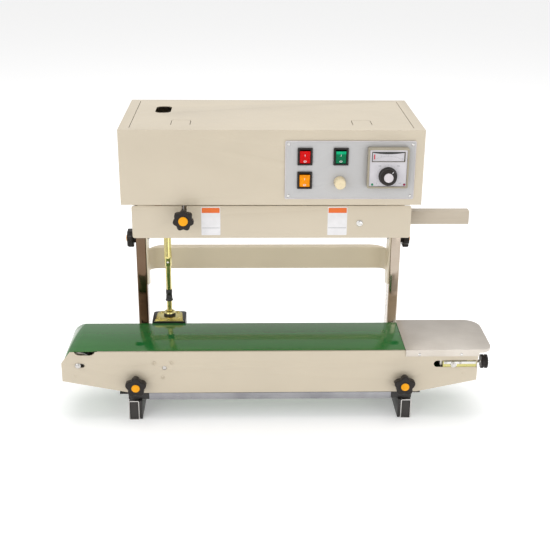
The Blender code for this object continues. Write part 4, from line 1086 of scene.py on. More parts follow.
@dataclass(frozen=True)
class Conveyor:
    """Side plates, belt, rollers, table plate and the bevel gear box."""

    plate_front: float = -30.0
    axle_height: float = 111.8
    bearing_screws: tuple[tuple[float, float], ...] = ((-216.5, 116.5), (-184.0, 117.0), (-200.5, 86.6))
    rivets: tuple[tuple[float, float], ...] = ((-362.8, 89.7), (359.6, 92.6))
    table_screws: tuple[tuple[float, float], ...] = ((276.0, 132.4), (354.3, 132.4))
    belt_run: BeltRun = field(default_factory=BeltRun)

    def build(self) -> None:
        """Builds and dresses the conveyor."""
        self.side_plates()
        self.belt_run.build()
        Bench.dressed("belt_bed", Look.STEEL, 0.3)
        for roller in ("end_roller", "tension_roller", "drive_roller"):
            self.roller(roller)
        self.table()
        self.tension_slide()
        self.gear_box()

    def side_plates(self) -> None:
        """Rounds the plates' folded edges, slots the front one for its axle and adds the fasteners."""
        Bench.dressed("rear_side_plate", Look.BEIGE, 0.5)
        plate = Bench.from_node("front_side_plate", "front_side_plate_dressed")
        slot = [(-356.0, 107.6), (-347.8, 107.6), (-346.2, 109.2), (-345.8, 111.8), (-346.2, 114.4)]
        slot += [(-347.8, 116.0), (-356.0, 116.0)]
        Bench.cut(plate, front_plate("axle_slot", slot, self.plate_front - 4, self.plate_front + 4))
        Bench.soften(plate, 0.5, 2)
        Bench.hand_in(plate, Look.BEIGE, "conveyor", NODE_SLOT["front_side_plate"], ("front_side_plate",))
        slot_name = NODE_SLOT["front_side_plate"]
        place = DATUM.at(-356.0, self.plate_front - 0.2, self.axle_height)
        bolt = Screw(5.4, 2.6, Drive.SLOT, 35).build("end_axle_bolt", place, Axis.Y, -1)
        Bench.hand_in(bolt, Look.SCREW, "conveyor", NODE_SLOT["end_roller"])
        rear = DATUM.at(-356.0, 103.2, self.axle_height)
        bolt = Nut(10.0, 4.0, 7.5).build("end_axle_nut", rear, Axis.Y, 1)
        Bench.hand_in(bolt, Look.SCREW, "conveyor", NODE_SLOT["end_roller"])
        rear = DATUM.at(341.0, 105.4, self.axle_height)
        bolt = Nut(10.0, 4.0, 7.5).build("tension_axle_nut", rear, Axis.Y, 1)
        Bench.hand_in(bolt, Look.SCREW, "tension_block", NODE_SLOT["tension_block"])
        for index, (across, up) in enumerate(self.bearing_screws):
            place = DATUM.at(across, self.plate_front, up)
            screw = Screw(3.6, 1.7, Drive.CROSS, 15 + 25 * index).build(
                f"bearing_screw_{index + 1}", place, Axis.Y, -1
            )
            Bench.hand_in(screw, Look.BEIGE, "conveyor", slot_name)
        for index, (across, up) in enumerate(self.rivets):
            place = DATUM.at(across, self.plate_front, up)
            rivet = Screw(2.0, 0.8, Drive.NONE).build(f"plate_rivet_{index + 1}", place, Axis.Y, -1)
            Bench.hand_in(rivet, Look.BEIGE, "conveyor", slot_name)

    def roller(self, node: str) -> None:
        """Turns a roller with a slightly crowned, chamfered barrel on its own axle.

        Args:
            node: the CAD roller.
        """
        low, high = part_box(node)
        centre = Vector(((low.x + high.x) / 2, 0, (low.z + high.z) / 2))
        radius = (high.z - low.z) / 2 / MM
        front = (DATUM.at(0, self.belt_run.front + 0.7, 0).y) / MM
        rear = (DATUM.at(0, self.belt_run.rear - 0.7, 0).y) / MM
        profile = [
            (0.0, low.y / MM),
            (3.4, low.y / MM),
            (4.0, low.y / MM + 0.6),
            (4.0, front + 3.0),
            (9.0, front + 3.0),
            (9.0, front + 1.4),
            (radius - 5.0, front + 1.4),
            (radius - 4.6, front),
            (radius - 1.0, front),
            (radius - 0.25, front + 0.9),
            (radius, (front + rear) / 2),
            (radius - 0.25, rear - 0.9),
            (radius - 1.0, rear),
            (4.0, rear),
            (4.0, high.y / MM - 0.6),
            (3.4, high.y / MM),
            (0.0, high.y / MM),
        ]
        made = Bench.turned(f"{node}_turned", Axis.Y, centre, profile, 64)
        Bench.hand_in(made, Look.STEEL, NODE_BODY[node], NODE_SLOT[node], (node,))

    def table(self) -> None:
        """The run-in table with its bright rolled edge and skirt screws."""
        # The plate's beige tint is a painted reflection.
        Bench.dressed("table_plate", Look.TABLE_STEEL_BEIGE_REFLECTION, 0.6, 3)
        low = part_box("table_plate")[0]
        for index, (across, up) in enumerate(self.table_screws):
            place = DATUM.at(across, (low.y - DATUM.y) / MM, up)
            screw = Screw(2.9, 1.5, Drive.CROSS, 30).build(f"table_screw_{index + 1}", place, Axis.Y, -1)
            Bench.hand_in(screw, Look.SCREW, "conveyor", NODE_SLOT["table_plate"])

    def tension_slide(self) -> None:
        """The slide in the tension slot: an olive bar, a bright strip with two screws, and a nut."""
        slot = NODE_SLOT["tension_block"]
        bar = Bench.from_node("tension_block", "tension_bar")
        Bench.soften(bar, 0.4, 2)
        Bench.hand_in(bar, Look.OLIVE_ZINC, "tension_block", slot, ("tension_block",))
        strip = front_plate("tension_strip", rounded_box((352.5, 115.0), (60.0, 5.0), 0.8, 3), -32.0, -30.9)
        Bench.soften(strip, 0.2, 1)
        Bench.hand_in(strip, Look.SCREW, "tension_block", slot)
        for index, across in enumerate((326.5, 353.5)):
            screw = Screw(2.5, 1.1, Drive.SLOT, 60 - 80 * index).build(
                f"strip_screw_{index + 1}", DATUM.at(across, -32.0, 115.0), Axis.Y, -1
            )
            Bench.hand_in(screw, Look.STEEL, "tension_block", slot)
        nut = Nut(8.6, 3.0, 5.8).build("tension_axle_bolt", DATUM.at(341.0, -32.0, 111.8), Axis.Y, -1)
        Bench.hand_in(nut, Look.SCREW, "tension_block", slot)
        low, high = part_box("tension_knob")
        centre = Vector(next(j for j in FRAME["joints"] if j["child"] == "tension_knob")["pos_m"])
        grip = Bench.drum("tension_knob_grip", Axis.X, centre, 12.0, 13.0, 96)
        for flute in range(16):
            angle = math.tau * flute / 16
            away = Vector((0, math.cos(angle), math.sin(angle))) * 13.4 * MM
            start = centre + away - Vector((2 * MM, 0, 0))
            Bench.cut(grip, Bench.drum("flute", Axis.X, start, 16.0, 1.7, 16))
        waist = Bench.turned(
            "waist",
            Axis.X,
            centre + Vector((6 * MM, 0, 0)),
            [(11.6, -1.2), (14.0, -1.2), (14.0, 1.2), (11.6, 1.2)],
            48,
        )
        Bench.cut(grip, waist)
        Bench.soften(grip, 0.5, 2, 50)
        Bench.hand_in(grip, Look.BLACK, "tension_knob", NODE_SLOT["tension_knob"], ("tension_knob",), 40)
        length = (centre.x - low.x) / MM
        profile = [(0.0, 1.0), (3.0, 1.0)]
        profile += [(3.0 - 0.4 * (step % 2), -0.75 * step) for step in range(int(length / 0.75))]
        profile += [(0.0, -length)]
        thread = Bench.turned("tension_screw", Axis.X, centre, profile, 24)
        Bench.hand_in(thread, Look.SCREW, "tension_knob", NODE_SLOT["tension_knob"])

    def gear_box(self) -> None:
        """The black bevel gear box with its zinc lid, lip, screws and boss."""
        box = Bench.from_node("gear_housing", "gear_box")
        Bench.soften(box, 1.2, 3)
        Bench.hand_in(box, Look.BLACK_PAINT, "conveyor", NODE_SLOT["gear_housing"], ("gear_housing",))
        low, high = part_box("gear_housing")
        slot = NODE_SLOT["drive_sleeve"]
        across, back, top = -197.0, 133.0, 141.0
        outline = [(-224.0, 107.0), (-170.0, 107.0), (-172.5, 139.5), (-180.0, 149.0), (-214.0, 149.0)]
        outline += [(-221.5, 139.5)]
        lid = top_plate("gear_box_lid", outline, top + 0.1, top + 2.6)
        bore = Bench.drum("lid_bore", Axis.Z, DATUM.at(across, back, top - 5), 12.0, 11.4, 40)
        Bench.cut(lid, bore)
        Bench.soften(lid, 0.4, 2)
        Bench.hand_in(lid, Look.ZINC, "conveyor", slot)
        lip_outline = rounded_box((-197.0, 138.2), (58.0, 7.5), 2.6, 4)
        lip = front_plate("gear_box_lip", lip_outline, 102.9 + 0.5, 106.4)
        Bench.soften(lip, 0.6, 3)
        Bench.hand_in(lip, Look.ZINC, "conveyor", slot)
        places = ((-216.0, 113.5), (-178.0, 113.5), (-213.0, 141.5), (-181.0, 141.5))
        for index, (u, v) in enumerate(places):
            screw = Screw(3.3, 2.0, Drive.SLOT, 20 + 50 * index).build(
                f"lid_screw_{index + 1}", DATUM.at(u, v, top + 2.6), Axis.Z, 1
            )
            Bench.hand_in(screw, Look.ZINC, "conveyor", slot)
        ring = [(6.6, 6.3), (10.4, 6.3), (10.9, 6.8), (10.0, 9.2), (7.4, 9.6), (6.6, 9.0)]
        boss = Bench.turned("gear_box_boss", Axis.Z, DATUM.at(across, back, top), ring, 40)
        Bench.hand_in(boss, Look.ZINC, "conveyor", slot)


# ------------------------------------------------------------------ drive line


@dataclass(frozen=True)
class DriveLine:
    """The upright shaft: bevel and rod below, black coupling, telescopic sleeve above."""

    across: float = -197.0
    back: float = 133.0

    def build(self) -> None:
        """Turns the shaft's pieces."""
        slot = NODE_SLOT["lower_drive_shaft"]
        floor = DATUM.at(self.across, self.back, 0)
        bevel = [(0.0, 117.0), (9.7, 117.0), (17.2, 124.2), (15.0, 125.4), (5.0, 125.4), (5.0, 173.8)]
        bevel += [(0.0, 173.8)]
        lower = Bench.turned("bevel_shaft", Axis.Z, floor, bevel, 40)
        Bench.hand_in(lower, Look.ZINC, "lower_drive_shaft", slot, ("lower_drive_shaft",))
        sleeve = [(0.0, 174.0), (7.4, 174.0), (7.5, 175.6), (6.4, 177.2), (6.2, 179.5), (6.2, 184.0)]
        sleeve += [(5.8, 184.8), (5.8, 187.0), (6.2, 187.8), (6.2, 196.2), (5.7, 197.0), (0.0, 197.0)]
        coupling = Bench.turned("shaft_coupling", Axis.Z, floor, sleeve, 40)
        Bench.hand_in(coupling, Look.BLACK_PAINT, "lower_drive_shaft", slot)
        rod_low, rod_high = 197.2, 330.0
        rod = Bench.turned(
            "telescopic_rod",
            Axis.Z,
            floor,
            [(0.0, rod_low), (5.2, rod_low), (5.5, rod_low + 0.5), (5.5, rod_high - 0.8), (4.7, rod_high)]
            + [(0.0, rod_high)],
            40,
        )
        Bench.hand_in(rod, Look.ZINC, "lower_drive_shaft", slot)
        pin = Bench.drum("coupling_pin", Axis.X, DATUM.at(self.across - 6.5, self.back, 191.0), 13.0, 1.4, 20)
        Bench.soften(pin, 0.3, 2)
        Bench.hand_in(pin, Look.SCREW, "lower_drive_shaft", slot)
        outer = [(5.9, 247.2), (6.7, 247.2), (7.0, 247.8), (7.0, 262.0), (7.35, 262.8), (7.35, 268.0)]
        outer += [(7.0, 268.8), (7.0, 469.4), (6.4, 470.0), (0.0, 470.0), (0.0, 400.0), (5.9, 400.0)]
        self.sleeve(outer, floor)

    def sleeve(self, outline: Sequence[tuple[float, float]], floor: Vector) -> None:
        """The sleeve, bored from below.

        Args:
            outline: half of its section, from the bore's mouth round to the bore's end.
            floor: the foot of the shaft's axis.
        """
        chain = list(outline[9:]) + list(outline[:9])
        profile = [(0.0, 400.0), *chain[2:], (0.0, 470.0)]
        made = Bench.turned("drive_sleeve_tube", Axis.Z, floor, profile, 40)
        slot = NODE_SLOT["drive_sleeve"]
        Bench.hand_in(made, Look.ZINC, "drive_sleeve", slot, ("drive_sleeve",))
        place = DATUM.at(self.across, self.back - 7.0, 256.0)
        screw = Screw(2.2, 1.2, Drive.SLOT, 0).build("sleeve_grub_screw", place, Axis.Y, -1)
        Bench.hand_in(screw, Look.SCREW, "drive_sleeve", slot)


# ------------------------------------------------------------------ head


@dataclass(frozen=True)
class Head:
    """The cover, deck, guards, sealing gear and the frame that clamps to the posts."""

    top: float = 548.0
    seam_across: float = 248.0
    seam_front: float = 16.0
    seam_rear: float = 236.0
    tab_across: float = 160.5
    tab_front: float = 39.0
    tab_depth: float = 37.0
    tab_width: float = 35.0
    slit: float = 1.1
    slit_depth: float = 2.4

    def build(self) -> None:
        """Builds and dresses the head."""
        self.cover()
        Bench.dressed("deck_plate", Look.BEIGE, 0.5)
        Bench.dressed("front_guard", Look.BEIGE, 0.5, 3)
        Bench.dressed("rear_guard", Look.BEIGE, 0.5)
        # The support frame takes the beige painted lighter, as painted light against the shade under the head.
        Bench.dressed("support_frame", Look.SHADE_LIFTED_BEIGE, 0.6, 3)
        Bench.dressed("feed_guide", Look.DEEP_BEIGE, 0.45, 2)
        self.sealing_gear()
        self.guard_fittings()
        self.motor()

    def tab_outline(self, across: float, inset: float) -> list[tuple[float, float]]:
        """Outline of a pressed tab, open at the front.

        Args:
            across: the tab's middle.
            inset: how far inside the outer edge.

        Returns:
            Points across and back.
        """
        half, corner = self.tab_width / 2 - inset, 6.0 - inset
        back = self.tab_front + self.tab_depth - inset
        points = [(across + half, self.tab_front - 1.0 * (inset > 0))]
        points += arc_points((across + half - corner, back - corner), corner, 0, 90, 6)
        points += arc_points((across - half + corner, back - corner), corner, 90, 180, 6)
        points += [(across - half, self.tab_front - 1.0 * (inset > 0))]
        return points

    def cover(self) -> None:
        """The folded cover with its seams, pressed tabs and cable port."""
        cover = Bench.from_node("head_cover", "head_cover_dressed")
        Bench.soften(cover, 0.9, 3, 50)
        floor, above = self.top - self.slit_depth, self.top + 3
        tools = []
        for side in (-1, 1):
            low_x = side * self.seam_across - self.slit / 2
            tools.append(
                Bench.block(
                    f"seam_tool_{side}",
                    DATUM.at(low_x, self.seam_front, floor),
                    DATUM.at(low_x + self.slit, self.seam_rear, above),
                )
            )
            outer = top_plate("tab_outer", self.tab_outline(side * self.tab_across, 0.0), floor, above)
            inner = top_plate(
                "tab_inner", self.tab_outline(side * self.tab_across, self.slit), floor - 1, above + 1
            )
            tools.append(Bench.cut(outer, inner))
        Bench.cut(cover, *tools)
        Bench.hand_in(cover, Look.BEIGE, "head", NODE_SLOT["head_cover"], ("head_cover",), 30)

    def sealing_gear(self) -> None:
        """Bands, wheels and the heating and cooling blocks."""
        for row in ("front", "rear"):
            Bench.dressed(f"{row}_band", Look.BAND, 0.15, 1, 60)
            Bench.dressed(f"{row}_heater", Look.ALUMINIUM, 0.6)
            Bench.dressed(f"{row}_cooler", Look.ALUMINIUM, 0.6)
            Bench.dressed(f"{row}_drive_wheel", Look.SILICONE, 0.3)
            Bench.dressed(f"{row}_idler_wheel", Look.ALUMINIUM, 0.3)
        Bench.dressed("embossing_wheel", Look.STEEL, 0.3)
        Bench.dressed("press_wheel", Look.RUBBER, 0.3)

    def guard_fittings(self) -> None:
        """The two blank notices and the slotted screw on the front guard."""
        slot = NODE_SLOT["front_guard"]
        for index, (left, right) in enumerate(((-125.5, -91.4), (100.9, 135.9))):
            name = f"notice_{index + 1}"
            middle, width = (left + right) / 2, right - left
            outline = rounded_box((middle, 380.0), (width, 53.0), 1.2, 3)
            sheet = front_plate(f"{name}_sheet", outline, 7.75, 7.95)
            Bench.hand_in(sheet, Look.WHITE_PRINT, "head", slot)
            header = front_plate(
                f"{name}_header", rounded_box((middle, 400.3), (width - 2.2, 9.6), 0.6, 2), 7.6, 7.74
            )
            Bench.hand_in(header, Look.ORANGE_PRINT, "head", slot)
            rule = front_plate(
                f"{name}_rule", rounded_box((middle, 367.3), (width - 2.2, 0.8), 0.2, 2), 7.6, 7.74
            )
            Bench.hand_in(rule, Look.GREY_PRINT, "head", slot)
        screw = Screw(6.0, 2.8, Drive.SLOT, 8).build("guard_screw", DATUM.at(158.7, 8.0, 376.0), Axis.Y, -1)
        Bench.hand_in(screw, Look.SCREW, "head", slot)

    def motor(self) -> None:
        """The gear motor under the cover, and the cord gland on its back."""
        Bench.dressed("gear_motor", Look.CASTING, 1.0, 3)
        gland = Bench.from_node("cord_gland", "cord_gland_dressed")
        Bench.soften(gland, 0.4, 2, 30)
        Bench.hand_in(gland, Look.BLACK, "head", NODE_SLOT["cord_gland"], ("cord_gland",))


# ------------------------------------------------------------------ control panel


@dataclass(frozen=True)
class Rocker:
    """A rocker switch: bezel, tilted paddle and its on and off marks."""

    colour: str
    look: Look
    across: float
    up: float
    tilt: float = 8.0
    half_height: float = 11.4
    half_width: float = 9.0
    crown: float = -2.8
    rim: float = -4.8
    pivot_back: float = -0.6
    bezel_depth: float = 2.5
    well_depth: float = 13.6

    def face(self, across: float, height: float, proud: float) -> Vector:
        """A point on the paddle's tilted face.

        Args:
            across: millimetres from the paddle's middle.
            height: millimetres up the face.
            proud: millimetres in front of it.

        Returns:
            The point.
        """
        depth = self.crown + (self.rim - self.crown) * abs(height) / self.half_height - proud
        tilt = math.radians(self.tilt)
        back = self.pivot_back + depth * math.cos(tilt) - height * math.sin(tilt)
        return DATUM.at(
            self.across + across, back, self.up + depth * math.sin(tilt) + height * math.cos(tilt)
        )

    def build(self) -> None:
        """Dresses the switch and adds its marks."""
        housing = f"{self.colour}_switch_housing"
        Bench.hand_in(self.housing(housing), Look.BLACK, "head", NODE_SLOT[housing], (housing,))
        node = f"{self.colour}_rocker"
        Bench.hand_in(self.paddle(node), self.look, node, NODE_SLOT[node], (node,), 20)
        if self.look is Look.GREEN_LENS:
            corners = [self.face(u, v, 0.05) for u, v in ((-8.4, 5.2), (8.4, 5.2), (8.4, 10.9), (-8.4, 10.9))]
            pane = Bench.prism(f"{node}_pane", corners, Vector((0, -0.12 * MM, 0)))
            Bench.hand_in(pane, Look.PALE_GREEN_LENS, node, NODE_SLOT[node])
        bar = [self.face(u, v, 0.05) for u, v in ((-0.45, 0.9), (0.45, 0.9), (0.45, 4.6), (-0.45, 4.6))]
        mark = Bench.prism(f"{node}_on_mark", bar, Vector((0, -0.2 * MM, 0)))
        Bench.hand_in(mark, Look.WHITE_PRINT, node, NODE_SLOT[node])
        outer = [self.face(u, v, 0.05) for u, v in self.ellipse(2.6, 1.7)]
        inner = [self.face(u, v, -1.0) for u, v in self.ellipse(1.7, 0.9)]
        ring = Bench.prism(f"{node}_off_mark", outer, Vector((0, -0.2 * MM, 0)))
        Bench.cut(ring, Bench.prism("ring_hole", inner, Vector((0, -3 * MM, 0))))
        Bench.hand_in(ring, Look.WHITE_PRINT, node, NODE_SLOT[node])

    def housing(self, node: str) -> Mesh:
        """The housing: a rounded bezel on a body, with a well sunk into both.

        Args:
            node: the part of the record that it stands for.

        Returns:
            The mesh.
        """
        low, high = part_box(node)
        seat = low.y + self.bezel_depth * MM
        inset = Vector((2.5 * MM, 0, 2.0 * MM))
        bezel = Bench.block(f"{node}_shell", low, Vector((high.x, seat, high.z)))
        Bench.soften(bezel, 0.7, 3)
        body = Bench.block("body", Vector((low.x, seat - MM, low.z)) + inset, high - inset)
        rim = Vector((3.3 * MM, 0, 2.7 * MM))
        floor = low.y + self.well_depth * MM
        well = Bench.block(
            "well", Vector((low.x, low.y - MM, low.z)) + rim, Vector((high.x, floor, high.z)) - rim
        )
        return Bench.cut(Bench.weld(bezel, body), well)

    def paddle(self, node: str) -> Mesh:
        """The paddle: a shallow V across the switch, its edges rounded.

        Args:
            node: the part of the record that it stands for.

        Returns:
            The mesh.
        """
        half, left = self.half_height, -self.half_width
        section = [(half, 0.0), (0.0, 0.0), (-half, 0.0), (2.5 - half, -6.4), (0.0, -7.0), (half - 2.5, -6.4)]
        outline = [self.face(left, height, proud) for height, proud in section]
        paddle = Bench.prism(f"{node}_paddle", outline, Vector((2 * self.half_width * MM, 0, 0)))
        return Bench.soften(paddle, 0.5, 3)

    def ellipse(self, half_width: float, half_height: float) -> list[tuple[float, float]]:
        """The off mark's outline, low on the paddle."""
        turns = [math.tau * step / 28 for step in range(28)]
        return [(half_width * math.cos(t), -8.0 + half_height * math.sin(t)) for t in turns]


@dataclass(frozen=True)
class Controller:
    """The temperature controller: bezel, printed face, curved meter, dial and lamps."""

    across: float = 202.2
    up: float = 483.5
    side: float = 72.0
    face: float = -12.0
    dial_up: float = 469.5
    dial_radius: float = 16.4
    window: tuple[float, float, float, float] = (202.2, 503.8, 58.0, 18.0)
    numerals: tuple[tuple[str, float, float], ...] = (
        ("0", 183.0, 456.3),
        ("100", 187.0, 487.6),
        ("300", 219.8, 487.8),
        ("400", 224.0, 456.3),
    )

    def build(self) -> None:
        """Builds the controller."""
        slot = NODE_SLOT["temperature_controller"]
        Bench.dressed("temperature_controller", Look.HOUSING, 0.5, 3)
        rim = rounded_box((self.across, self.up), (self.side, self.side), 3.0)
        bezel = front_plate("controller_bezel", rim, -14.4, -11.9)
        hole = front_plate("bezel_hole", rounded_box((self.across, self.up), (65.4, 65.4), 1.6), -20, -5)
        Bench.cut(bezel, hole)
        Bench.soften(bezel, 0.8, 4, 50)
        Bench.hand_in(bezel, Look.HOUSING, "head", slot)
        self.printed_face()
        self.meter()
        self.dial()
        for name, across, look in (
            ("green_lamp", 175.4, Look.GREEN_LAMP),
            ("red_lamp", 231.6, Look.RED_LAMP),
        ):
            profile = [(0.0, 0.0), (2.0, 0.0), (2.0, 0.7), (1.5, 1.3), (0.8, 1.6), (0.0, 1.7)]
            lamp = Bench.turned(
                f"controller_{name}",
                Axis.Y,
                DATUM.at(across, -12.4, 454.3),
                [(r, -a) for r, a in profile],
                24,
            )
            Bench.hand_in(lamp, look, "head", slot)

    def printed_face(self) -> None:
        """The white face plate inside the bezel, open over the meter, with its scale."""
        slot = NODE_SLOT["temperature_controller"]
        card = rounded_box((self.across, self.up), (65, 65), 1.2)
        plate = front_plate("controller_face", card, -12.5, -12.05)
        across, up, width, height = self.window
        hole = rounded_box((across, up), (width + 0.6, height + 0.6), 1.0)
        opening = front_plate("face_opening", hole, -20, -5)
        bore = Bench.drum("dial_bore", Axis.Y, DATUM.at(self.across, -20, self.dial_up), 15.0, 4.0, 32)
        Bench.cut(plate, opening, bore)
        Bench.hand_in(plate, Look.WHITE_CARD, "head", slot)
        for index, (text, u, v) in enumerate(self.numerals):
            Bench.hand_in(self.numeral(text, u, v), Look.GREY_PRINT, "head", slot)
        ticks = []
        for step in range(17):
            angle = math.radians(225 - 270 * step / 16)
            inner = 18.6
            outer = inner + (2.0 if step % 4 == 0 else 1.2)
            middle = (self.across, self.dial_up)
            ticks.append(self.tick(f"dial_tick_{step}", angle, inner, outer, middle, -12.5))
        scale = Bench.join(*ticks)
        scale.name = "dial_scale"
        Bench.hand_in(scale, Look.GREY_PRINT, "head", slot)

    def tick(
        self,
        name: str,
        angle: float,
        inner: float,
        outer: float,
        centre: tuple[float, float],
        back: float,
        width: float = 0.35,
    ) -> Mesh:
        """One printed tick.

        Args:
            name: the object's name.
            angle: where it lies round the centre, in radians.
            inner: radius of its inner end.
            outer: radius of its outer end.
            centre: across and up.
            back: how far back the card lies that it is printed on.
            width: of the line.

        Returns:
            The tick.
        """
        along = (math.cos(angle), math.sin(angle))
        side = (-along[1] * width / 2, along[0] * width / 2)
        corners = [
            (centre[0] + along[0] * reach + side[0] * way, centre[1] + along[1] * reach + side[1] * way)
            for reach, way in ((inner, -1), (outer, -1), (outer, 1), (inner, 1))
        ]
        return front_plate(name, corners, back - 0.1, back - 0.01)

    def numeral(self, text: str, across: float, up: float) -> Mesh:
        """A printed number, standing just proud of the face.

        Args:
            text: the number.
            across: its middle.
            up: its middle.

        Returns:
            The mesh.
        """
        Bench.clear()
        bpy.ops.object.text_add(location=DATUM.at(across, -12.5, up), rotation=(math.pi / 2, 0, 0))
        obj = bpy.context.object
        obj.data.body = text
        obj.data.size = 3.6 * MM
        obj.data.extrude = 0.06 * MM
        obj.data.align_x = "CENTER"
        obj.data.align_y = "CENTER"
        bpy.ops.object.convert(target="MESH")
        obj = bpy.context.object
        obj.name = f"numeral_{text}"
        return Bench.settle(obj)

    def meter(self) -> None:
        """The meter's card with its arched scale, the dark surround and the needle."""
        slot = NODE_SLOT["temperature_controller"]
        across, up, width, height = self.window
        low, high = up - height / 2, up + height / 2
        arch = [(across - width / 2 + 1.5, low + 0.6), (across + width / 2 - 1.5, low + 0.6)]
        bulge = [
            (across + (width / 2 - 1.5) * (1 - 2 * t / 16), high - 2.2 - 2.6 * (1 - ((t - 8) / 8) ** 2))
            for t in range(17)
        ]
        card = front_plate("meter_card", arch + bulge, self.face + 2.0, self.face + 2.6)
        Bench.hand_in(card, Look.WHITE_CARD, "head", slot)
        surround = front_plate(
            "meter_surround",
            rounded_box((across, up), (width - 0.5, height - 0.5), 1.0),
            self.face + 2.7,
            self.face + 3.0,
        )
        Bench.hand_in(surround, Look.BLACK_PRINT, "head", slot)
        centre = (across, 488.0 - 34.0)
        ticks = []
        for step in range(21):
            angle = math.radians(118 - 56 * step / 20)
            outer = 53.5 if step % 5 == 0 else 51.8
            ticks.append(
                self.tick(f"meter_tick_{step}", angle, 49.6, outer, centre, self.face + 2.0, 0.45)
            )
        scale = Bench.join(*ticks)
        scale.name = "meter_scale"
        Bench.hand_in(scale, Look.GREY_PRINT, "head", slot)
        for index, left in enumerate((across - 26.2,)):
            mark = front_plate(
                f"meter_red_mark_{index}",
                rounded_box((left + 1.8, up - 0.5), (2.0, 9.0), 0.3, 2),
                self.face + 1.85,
                self.face + 1.98,
            )
            Bench.hand_in(mark, Look.RED_PRINT, "head", slot)
        Bench.dressed("meter_needle", Look.RED_PRINT, 0.0)

    def dial(self) -> None:
        """The setting dial: fluted black skirt, grey pointer line and pale cap."""
        node = "temperature_dial"
        slot = NODE_SLOT[node]
        centre = Vector(next(j for j in FRAME["joints"] if j["child"] == node)["pos_m"])
        radius = self.dial_radius
        profile = [(0.0, -9.5), (3.0, -9.5), (3.0, 0.7), (radius, 0.7), (radius, 2.2), (radius - 0.9, 3.4)]
        profile += [(radius - 1.7, 11.4), (radius - 2.9, 12.4), (8.9, 12.6), (8.7, 12.0), (0.0, 12.0)]
        dial = Bench.turned("dial_skirt", Axis.Y, centre, [(r, -a) for r, a in profile], 72)
        flutes = []
        for flute in range(30):
            angle = math.tau * flute / 30
            away = Vector((math.cos(angle), 0, math.sin(angle))) * (radius - 0.15) * MM
            flutes.append(
                Bench.drum(
                    f"flute_{flute}", Axis.Y, centre + away - Vector((0, 3.6 * MM, 0)), -12.0, 0.75, 10
                )
            )
        tool = Bench.join(*flutes)
        Bench.cut(dial, tool)
        Bench.hand_in(dial, Look.BLACK, node, slot, (node,), 40)
        cap_profile = [(0.0, 11.9), (8.2, 11.9), (8.2, 13.6), (7.7, 14.2), (5.0, 14.5), (0.0, 14.6)]
        cap = Bench.turned("dial_cap", Axis.Y, centre, [(r, -a) for r, a in cap_profile], 48)
        Bench.hand_in(cap, Look.WHITE_CAP, node, slot)
        angle = math.radians(52)
        line = []
        for reach, way in ((9.8, -1), (radius - 3.1, -1), (radius - 3.1, 1), (9.8, 1)):
            along = Vector((math.cos(angle), 0, math.sin(angle))) * reach
            side = Vector((-math.sin(angle), 0, math.cos(angle))) * 0.5 * way
            line.append(centre + (along + side + Vector((0, -12.45, 0))) * MM)
        pointer = Bench.prism("dial_pointer", line, Vector((0, -0.25 * MM, 0)))
        Bench.hand_in(pointer, Look.WHITE_PRINT, node, slot)


@dataclass(frozen=True)
class ControlPanel:
    """The grey panel with its switches, speed knob and temperature controller."""

    left: float = 22.7
    right: float = 251.0
    low: float = 424.5
    high: float = 529.5
    front: float = -1.8
    rockers: tuple[Rocker, ...] = (
        Rocker("red", Look.RED_LENS, 57.4, 501.8),
        Rocker("yellow", Look.YELLOW_LENS, 57.4, 459.2),
        Rocker("green", Look.GREEN_LENS, 120.1, 501.8),
    )

    def build(self) -> None:
        """Builds and dresses the panel."""
        Bench.dressed("control_panel", Look.PANEL, 0.4, 2)
        self.rim()
        for index, (across, up) in enumerate(
            (
                (self.left + 6, self.low + 6),
                (self.right - 6, self.low + 6),
                (self.left + 6, self.high - 6),
                (self.right - 6, self.high - 6),
            )
        ):
            screw = Screw(2.6, 1.3, Drive.CROSS, 20 + 30 * index).build(
                f"panel_screw_{index + 1}", DATUM.at(across, self.front, up), Axis.Y, -1
            )
            Bench.hand_in(screw, Look.SCREW, "head", NODE_SLOT["control_panel"])
        for rocker in self.rockers:
            rocker.build()
        self.speed_knob()
        Controller().build()

    def rim(self) -> None:
        """The panel's bright rim."""
        middle = ((self.left + self.right) / 2, (self.low + self.high) / 2)
        size = (self.right - self.left, self.high - self.low)
        rim = front_plate("panel_rim", rounded_box(middle, size, 2.5), self.front - 0.35, self.front - 0.02)
        inner = rounded_box(middle, (size[0] - 2.4, size[1] - 2.4), 1.6)
        Bench.cut(rim, front_plate("rim_hole", inner, -6, 3))
        Bench.hand_in(rim, Look.WHITE_CAP, "head", NODE_SLOT["control_panel"])

    def speed_knob(self) -> None:
        """The plain cream knob, with a dished face and fine grip lines."""
        node = "speed_knob"
        centre = Vector(next(j for j in FRAME["joints"] if j["child"] == node)["pos_m"])
        profile = [(0.0, -10.0), (3.0, -10.0), (3.0, 0.6), (10.5, 0.6), (10.5, 2.0), (10.2, 2.5)]
        profile += [(9.8, 14.6), (9.2, 16.0), (8.2, 16.8), (7.0, 16.9), (0.0, 16.5)]
        knob = Bench.turned("speed_knob_turned", Axis.Y, centre, [(r, -a) for r, a in profile], 72)
        lines = []
        for line in range(36):
            angle = math.tau * line / 36
            away = Vector((math.cos(angle), 0, math.sin(angle))) * 10.25 * MM
            lines.append(
                Bench.drum(f"grip_{line}", Axis.Y, centre + away - Vector((0, 3.4 * MM, 0)), -11.0, 0.42, 8)
            )
        Bench.cut(knob, Bench.join(*lines))
        Bench.hand_in(knob, Look.CREAM, node, NODE_SLOT[node], (node,), 35)


# ------------------------------------------------------------------ studio


